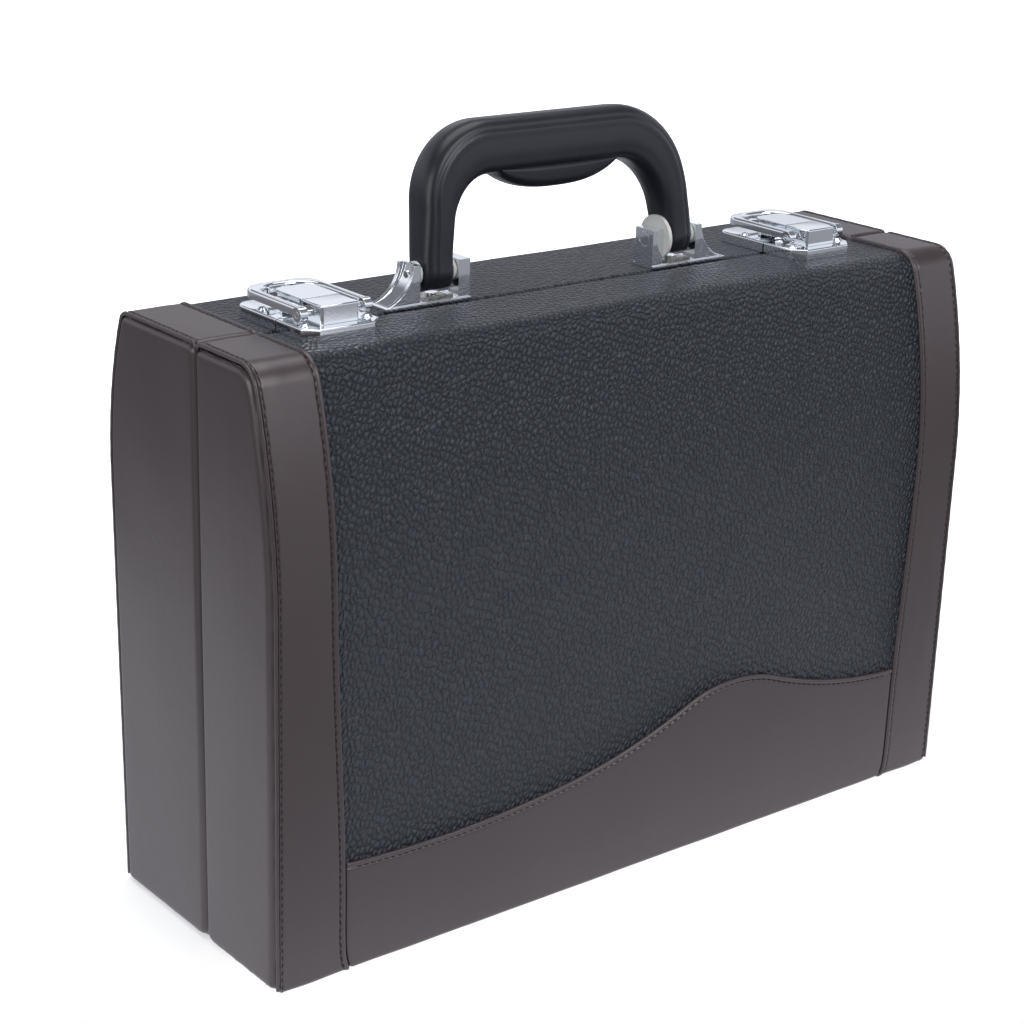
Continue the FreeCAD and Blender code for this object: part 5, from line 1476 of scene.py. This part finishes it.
@dataclass
class Studio:
    """Camera at the photograph's angle, pale floor and soft light."""

    focal: float = 79.73
    yaw: float = -38.55
    pitch: float = 19.27
    roll: float = 1.58
    place: tuple[float, float, float] = (-0.57816, -0.69228, 0.45620)
    ambient: float = 0.5
    room: float = 0.22
    tint: tuple[float, float, float] = (0.88, 0.92, 1.0)
    sheen: tuple[float, float, float] = (0.9, 0.92, 1.0)
    table: tuple[float, float] = (-0.75, -0.06)
    floor_half: float = 6.0
    sensor: float = 36.0
    aim: tuple[float, float, float] = (0.0, 0.0, 0.12)
    camera_side: tuple[float, float, float] = (-0.59, -0.74, 0.33)
    left_front: tuple[float, float, float] = (-0.62, -0.78, 0.0)
    table_curve: tuple[tuple[float, float], ...] = (
        (0.0, 1.0), (0.2, 0.95), (0.5, 0.5), (0.75, 0.5), (0.9, 0.75), (1.0, 1.0))
    lamps: tuple[tuple, ...] = (
        ("key", (0.25, -1.9, 1.5), (1.6, 1.2), 20.0),
        ("over", (0.1, 0.3, 2.0), (1.8, 1.4), 18.0),
        ("fill", (-1.9, -0.5, 0.9), (1.2, 1.2), 11.0),
    )

    def camera(self) -> None:
        """Place the camera from its turn, tilt and roll."""
        yaw, pitch, roll = (math.radians(v) for v in (self.yaw, self.pitch, self.roll))
        level = math.cos(pitch)
        back = Vector((math.sin(yaw) * level, -math.cos(yaw) * level, math.sin(pitch)))
        right = Vector((math.cos(yaw), math.sin(yaw), 0.0))
        up = back.cross(right)
        turned = math.cos(roll) * right + math.sin(roll) * up
        upward = -math.sin(roll) * right + math.cos(roll) * up
        data = bpy.data.cameras.new("camera")
        data.lens = self.focal
        data.sensor_width = self.sensor
        item = bpy.data.objects.new("camera", data)
        matrix = Matrix((turned, upward, back)).transposed().to_4x4()
        matrix.translation = self.place
        item.matrix_world = matrix
        bpy.context.scene.collection.objects.link(item)
        bpy.context.scene.camera = item

    def lamp(self, name: str, place: tuple[float, float, float], size: tuple[float, float],
             power: float) -> None:
        """Add a soft rectangular lamp that looks at the case.

        Args:
            name: Name of the lamp.
            place: Where it hangs, in metres.
            size: Its width and height in metres.
            power: Its power in watts.
        """
        data = bpy.data.lights.new(name, "AREA")
        data.shape = "RECTANGLE"
        data.size, data.size_y = size
        data.energy = power
        item = bpy.data.objects.new(name, data)
        item.location = place
        item.rotation_euler = (Vector(self.aim) - Vector(place)).to_track_quat("-Z", "Y").to_euler()
        bpy.context.scene.collection.objects.link(item)

    def mirrored_room(self, tree: bpy.types.NodeTree) -> bpy.types.NodeSocket:
        """Strength of the world that a mirror sees, by the direction of the ray.

        It is full round the horizon, and dimmer overhead, on the camera's side and in the lowest
        part behind the case.

        Args:
            tree: Node tree to add to.

        Returns:
            Socket with the strength.
        """
        ray = add(tree, "ShaderNodeTexCoord").outputs["Generated"]
        way = add(tree, "ShaderNodeSeparateXYZ", {0: ray})
        high = add(tree, "ShaderNodeMapRange", {"Value": way.outputs["Z"], "From Min": 0.36,
                                                "From Max": 0.54, "To Min": 1.0,
                                                "To Max": self.room},
                   interpolation_type="SMOOTHSTEP")
        facing = add(tree, "ShaderNodeVectorMath", {0: ray, 1: self.camera_side},
                     operation="DOT_PRODUCT")
        front = add(tree, "ShaderNodeMapRange", {"Value": facing.outputs["Value"], "From Min": 0.55,
                                                 "From Max": 0.85, "To Min": 1.0,
                                                 "To Max": self.room},
                    interpolation_type="SMOOTHSTEP")
        low = add(tree, "ShaderNodeMapRange", {"Value": way.outputs["Z"], "From Min": 0.08,
                                               "From Max": 0.26, "To Min": 0.4, "To Max": 1.0},
                  interpolation_type="SMOOTHSTEP")
        ahead = add(tree, "ShaderNodeMapRange", {"Value": way.outputs["Y"], "From Min": 0.2,
                                                 "From Max": 0.0})
        lower = add(tree, "ShaderNodeMath", {0: low.outputs[0], 1: ahead.outputs[0]},
                    operation="MAXIMUM")
        dimmest = add(tree, "ShaderNodeMath", {0: high.outputs[0], 1: front.outputs[0]},
                      operation="MINIMUM")
        mirrored = add(tree, "ShaderNodeMath", {0: dimmest.outputs[0], 1: lower.outputs[0]},
                       operation="MINIMUM")
        return mirrored.outputs[0]

    def world(self) -> None:
        """World: a plain level of light, white for the camera and a room for mirrors."""
        world = bpy.data.worlds.new("studio")
        bpy.context.scene.world = world
        world.use_nodes = True
        tree = world.node_tree
        tree.nodes.clear()
        path = add(tree, "ShaderNodeLightPath")
        clear = add(tree, "ShaderNodeMath", {0: path.outputs["Is Camera Ray"],
                                             1: path.outputs["Is Transmission Ray"]},
                    operation="MAXIMUM")
        level = add(tree, "ShaderNodeBackground", {"Color": (*self.tint, 1),
                                                   "Strength": self.ambient})
        mirror = add(tree, "ShaderNodeBackground", {"Color": (*self.sheen, 1),
                                                    "Strength": self.mirrored_room(tree)})
        white = add(tree, "ShaderNodeBackground", {"Color": (1, 1, 1, 1), "Strength": 1.0})
        lit = add(tree, "ShaderNodeMixShader", {0: path.outputs["Is Glossy Ray"],
                                                1: level.outputs[0], 2: mirror.outputs[0]})
        mixed = add(tree, "ShaderNodeMixShader", {0: clear.outputs[0], 1: lit.outputs[0],
                                                  2: white.outputs[0]})
        add(tree, "ShaderNodeOutputWorld", {"Surface": mixed.outputs[0]})

    def mirrored_table(self, tree: bpy.types.NodeTree, place: bpy.types.NodeSocket,
                       parts: bpy.types.Node, beside: bpy.types.Node) -> bpy.types.NodeSocket:
        """Strength of the floor that a mirror sees, by the place on the floor.

        In front it follows a curve along Y. It is dimmer far out at the sides, at the back, and in
        front on the left.

        Args:
            tree: Node tree to add to.
            place: Object coordinates of the floor.
            parts: Node that splits the place into X, Y and Z.
            beside: Node with the distance from the middle along X.

        Returns:
            Socket with the strength.
        """
        run = add(tree, "ShaderNodeMapRange", {"Value": parts.outputs["Y"],
                                               "From Min": self.table[0],
                                               "From Max": self.table[1]})
        ramp = add(tree, "ShaderNodeFloatCurve", {"Value": run.outputs[0]})
        curve = ramp.mapping.curves[0]
        for spot, level in self.table_curve:
            if spot in (0.0, 1.0):
                curve.points[int(spot)].location = (spot, level)
            else:
                curve.points.new(spot, level)
        ramp.mapping.update()
        left = add(tree, "ShaderNodeVectorMath", {0: place, 1: self.left_front},
                   operation="DOT_PRODUCT")
        dim = add(tree, "ShaderNodeMapRange", {"Value": left.outputs["Value"], "From Min": 0.45,
                                               "From Max": 0.8, "To Min": 1.0, "To Max": self.room},
                  interpolation_type="SMOOTHSTEP")
        right = add(tree, "ShaderNodeMapRange", {"Value": parts.outputs["X"], "From Min": 0.33,
                                                 "From Max": 0.55, "To Min": 1.0, "To Max": 0.35},
                    interpolation_type="SMOOTHSTEP")
        side = add(tree, "ShaderNodeMapRange", {"Value": beside.outputs[0], "From Min": 0.32,
                                                "From Max": 0.56, "To Min": 1.0, "To Max": 0.28},
                   interpolation_type="SMOOTHSTEP")
        rear = add(tree, "ShaderNodeMapRange", {"Value": parts.outputs["Y"], "From Min": 0.3,
                                                "From Max": 0.6, "To Min": 1.0, "To Max": 0.35},
                   interpolation_type="SMOOTHSTEP")
        aside = add(tree, "ShaderNodeMath", {0: side.outputs[0], 1: rear.outputs[0]},
                    operation="MINIMUM")
        before = add(tree, "ShaderNodeMath", {0: ramp.outputs[0], 1: right.outputs[0]},
                     operation="MINIMUM")
        is_front = add(tree, "ShaderNodeMapRange", {"Value": parts.outputs["Y"], "From Min": -0.06,
                                                    "From Max": -0.09})
        around = add(tree, "ShaderNodeMix", {"Factor": is_front.outputs[0], "A": aside.outputs[0],
                                             "B": before.outputs[0]})
        near = add(tree, "ShaderNodeMath", {0: around.outputs["Result"], 1: dim.outputs[0]},
                   operation="MINIMUM")
        return near.outputs[0]

    def opening(self, tree: bpy.types.NodeTree, path: bpy.types.Node, parts: bpy.types.Node,
                beside: bpy.types.Node) -> bpy.types.NodeSocket:
        """Where the floor lets camera and shadow rays through, since the open lid hangs below it.

        One patch lies under the closed lid, and a wider one, with soft sides, in front of it.

        Args:
            tree: Node tree to add to.
            path: Light Path node.
            parts: Node that splits the place into X, Y and Z.
            beside: Node with the distance from the middle along X.

        Returns:
            Socket with one where the floor is open.
        """
        under = add(tree, "ShaderNodeMapRange", {"Value": beside.outputs[0], "From Min": 0.1775,
                                                 "From Max": 0.1765})
        before_seam = add(tree, "ShaderNodeMapRange", {"Value": parts.outputs["Y"],
                                                       "From Min": -0.006, "From Max": -0.008})
        below_lid = add(tree, "ShaderNodeMath", {0: under.outputs[0], 1: before_seam.outputs[0]},
                        operation="MINIMUM")
        inside = add(tree, "ShaderNodeMapRange", {"Value": beside.outputs[0], "From Min": 0.42,
                                                  "From Max": 0.32})
        close = add(tree, "ShaderNodeMapRange", {"Value": parts.outputs["Y"], "From Min": -0.004,
                                                 "From Max": -0.03})
        distant = add(tree, "ShaderNodeMapRange", {"Value": parts.outputs["Y"], "From Min": -0.62,
                                                   "From Max": -0.6})
        wide = add(tree, "ShaderNodeMath", {0: inside.outputs[0], 1: close.outputs[0]},
                   operation="MINIMUM")
        both_parts = add(tree, "ShaderNodeMath", {0: wide.outputs[0], 1: below_lid.outputs[0]},
                         operation="MAXIMUM")
        patch = add(tree, "ShaderNodeMath", {0: both_parts.outputs[0], 1: distant.outputs[0]},
                    operation="MINIMUM")
        passing = add(tree, "ShaderNodeMath", {0: path.outputs["Is Camera Ray"],
                                               1: path.outputs["Is Shadow Ray"]},
                      operation="MAXIMUM")
        hole = add(tree, "ShaderNodeMath", {0: patch.outputs[0], 1: passing.outputs[0]},
                   operation="MULTIPLY")
        return hole.outputs[0]

    def floor(self) -> None:
        """White table that the camera sees as white with a shadow, open in front of the case."""
        corner = self.floor_half
        mesh = bpy.data.meshes.new("floor")
        mesh.from_pydata([(-corner, -corner, 0), (corner, -corner, 0), (corner, corner, 0),
                          (-corner, corner, 0)], [], [(0, 1, 2, 3)])
        item = bpy.data.objects.new("floor", mesh)
        bpy.context.scene.collection.objects.link(item)
        material = bpy.data.materials.new("pale_floor")
        material.use_nodes = True
        tree = material.node_tree
        tree.nodes.clear()
        path = add(tree, "ShaderNodeLightPath")
        place = add(tree, "ShaderNodeTexCoord").outputs["Object"]
        parts = add(tree, "ShaderNodeSeparateXYZ", {0: place})
        beside = add(tree, "ShaderNodeMath", {0: parts.outputs["X"]}, operation="ABSOLUTE")
        away = add(tree, "ShaderNodeVectorMath", {0: place}, operation="LENGTH")
        glow = add(tree, "ShaderNodeMapRange", {"Value": away.outputs["Value"], "From Min": 0.35,
                                                "From Max": 0.9, "To Min": 0.45, "To Max": 1.0},
                   interpolation_type="SMOOTHSTEP")
        near = self.mirrored_table(tree, place, parts, beside)
        shade = add(tree, "ShaderNodeCombineColor", {i: near for i in range(3)})
        matt = add(tree, "ShaderNodeBsdfDiffuse", {"Color": (0.82, 0.82, 0.82, 1)})
        table = add(tree, "ShaderNodeBsdfDiffuse", {"Color": shade.outputs[0]})
        lit = add(tree, "ShaderNodeEmission", {"Color": (1, 1, 1, 1), "Strength": glow.outputs[0]})
        mirror = add(tree, "ShaderNodeEmission", {"Color": (*self.sheen, 1), "Strength": near})
        both = add(tree, "ShaderNodeAddShader", {0: matt.outputs[0], 1: lit.outputs[0]})
        seen = add(tree, "ShaderNodeMixShader", {0: path.outputs["Is Camera Ray"],
                                                 1: table.outputs[0], 2: both.outputs[0]})
        mixed = add(tree, "ShaderNodeMixShader", {0: path.outputs["Is Glossy Ray"],
                                                  1: seen.outputs[0], 2: mirror.outputs[0]})
        through = add(tree, "ShaderNodeBsdfTransparent")
        opened = add(tree, "ShaderNodeMixShader", {0: self.opening(tree, path, parts, beside),
                                                   1: mixed.outputs[0], 2: through.outputs[0]})
        add(tree, "ShaderNodeOutputMaterial", {"Surface": opened.outputs[0]})
        mesh.materials.append(material)

    def build(self) -> None:
        """Build camera, light and floor."""
        self.camera()
        self.world()
        self.floor()
        for lamp in self.lamps:
            self.lamp(*lamp)


def main() -> None:
    """Build the case in order."""
    logging.basicConfig(level=logging.INFO, format="%(message)s")
    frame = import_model()
    bpy.context.scene.view_settings.view_transform = "Standard"
    Studio().build()
    finishes = Finishes()
    for half in (LID, BASE):
        Skins(half, finishes).build()
    WavePanel(finishes).build()
    Handle(finishes).build()
    Inside(finishes, frame["nodes"]).build()
    Hardware(finishes, frame["nodes"]).dress()


if __name__ == "__main__":
    main()
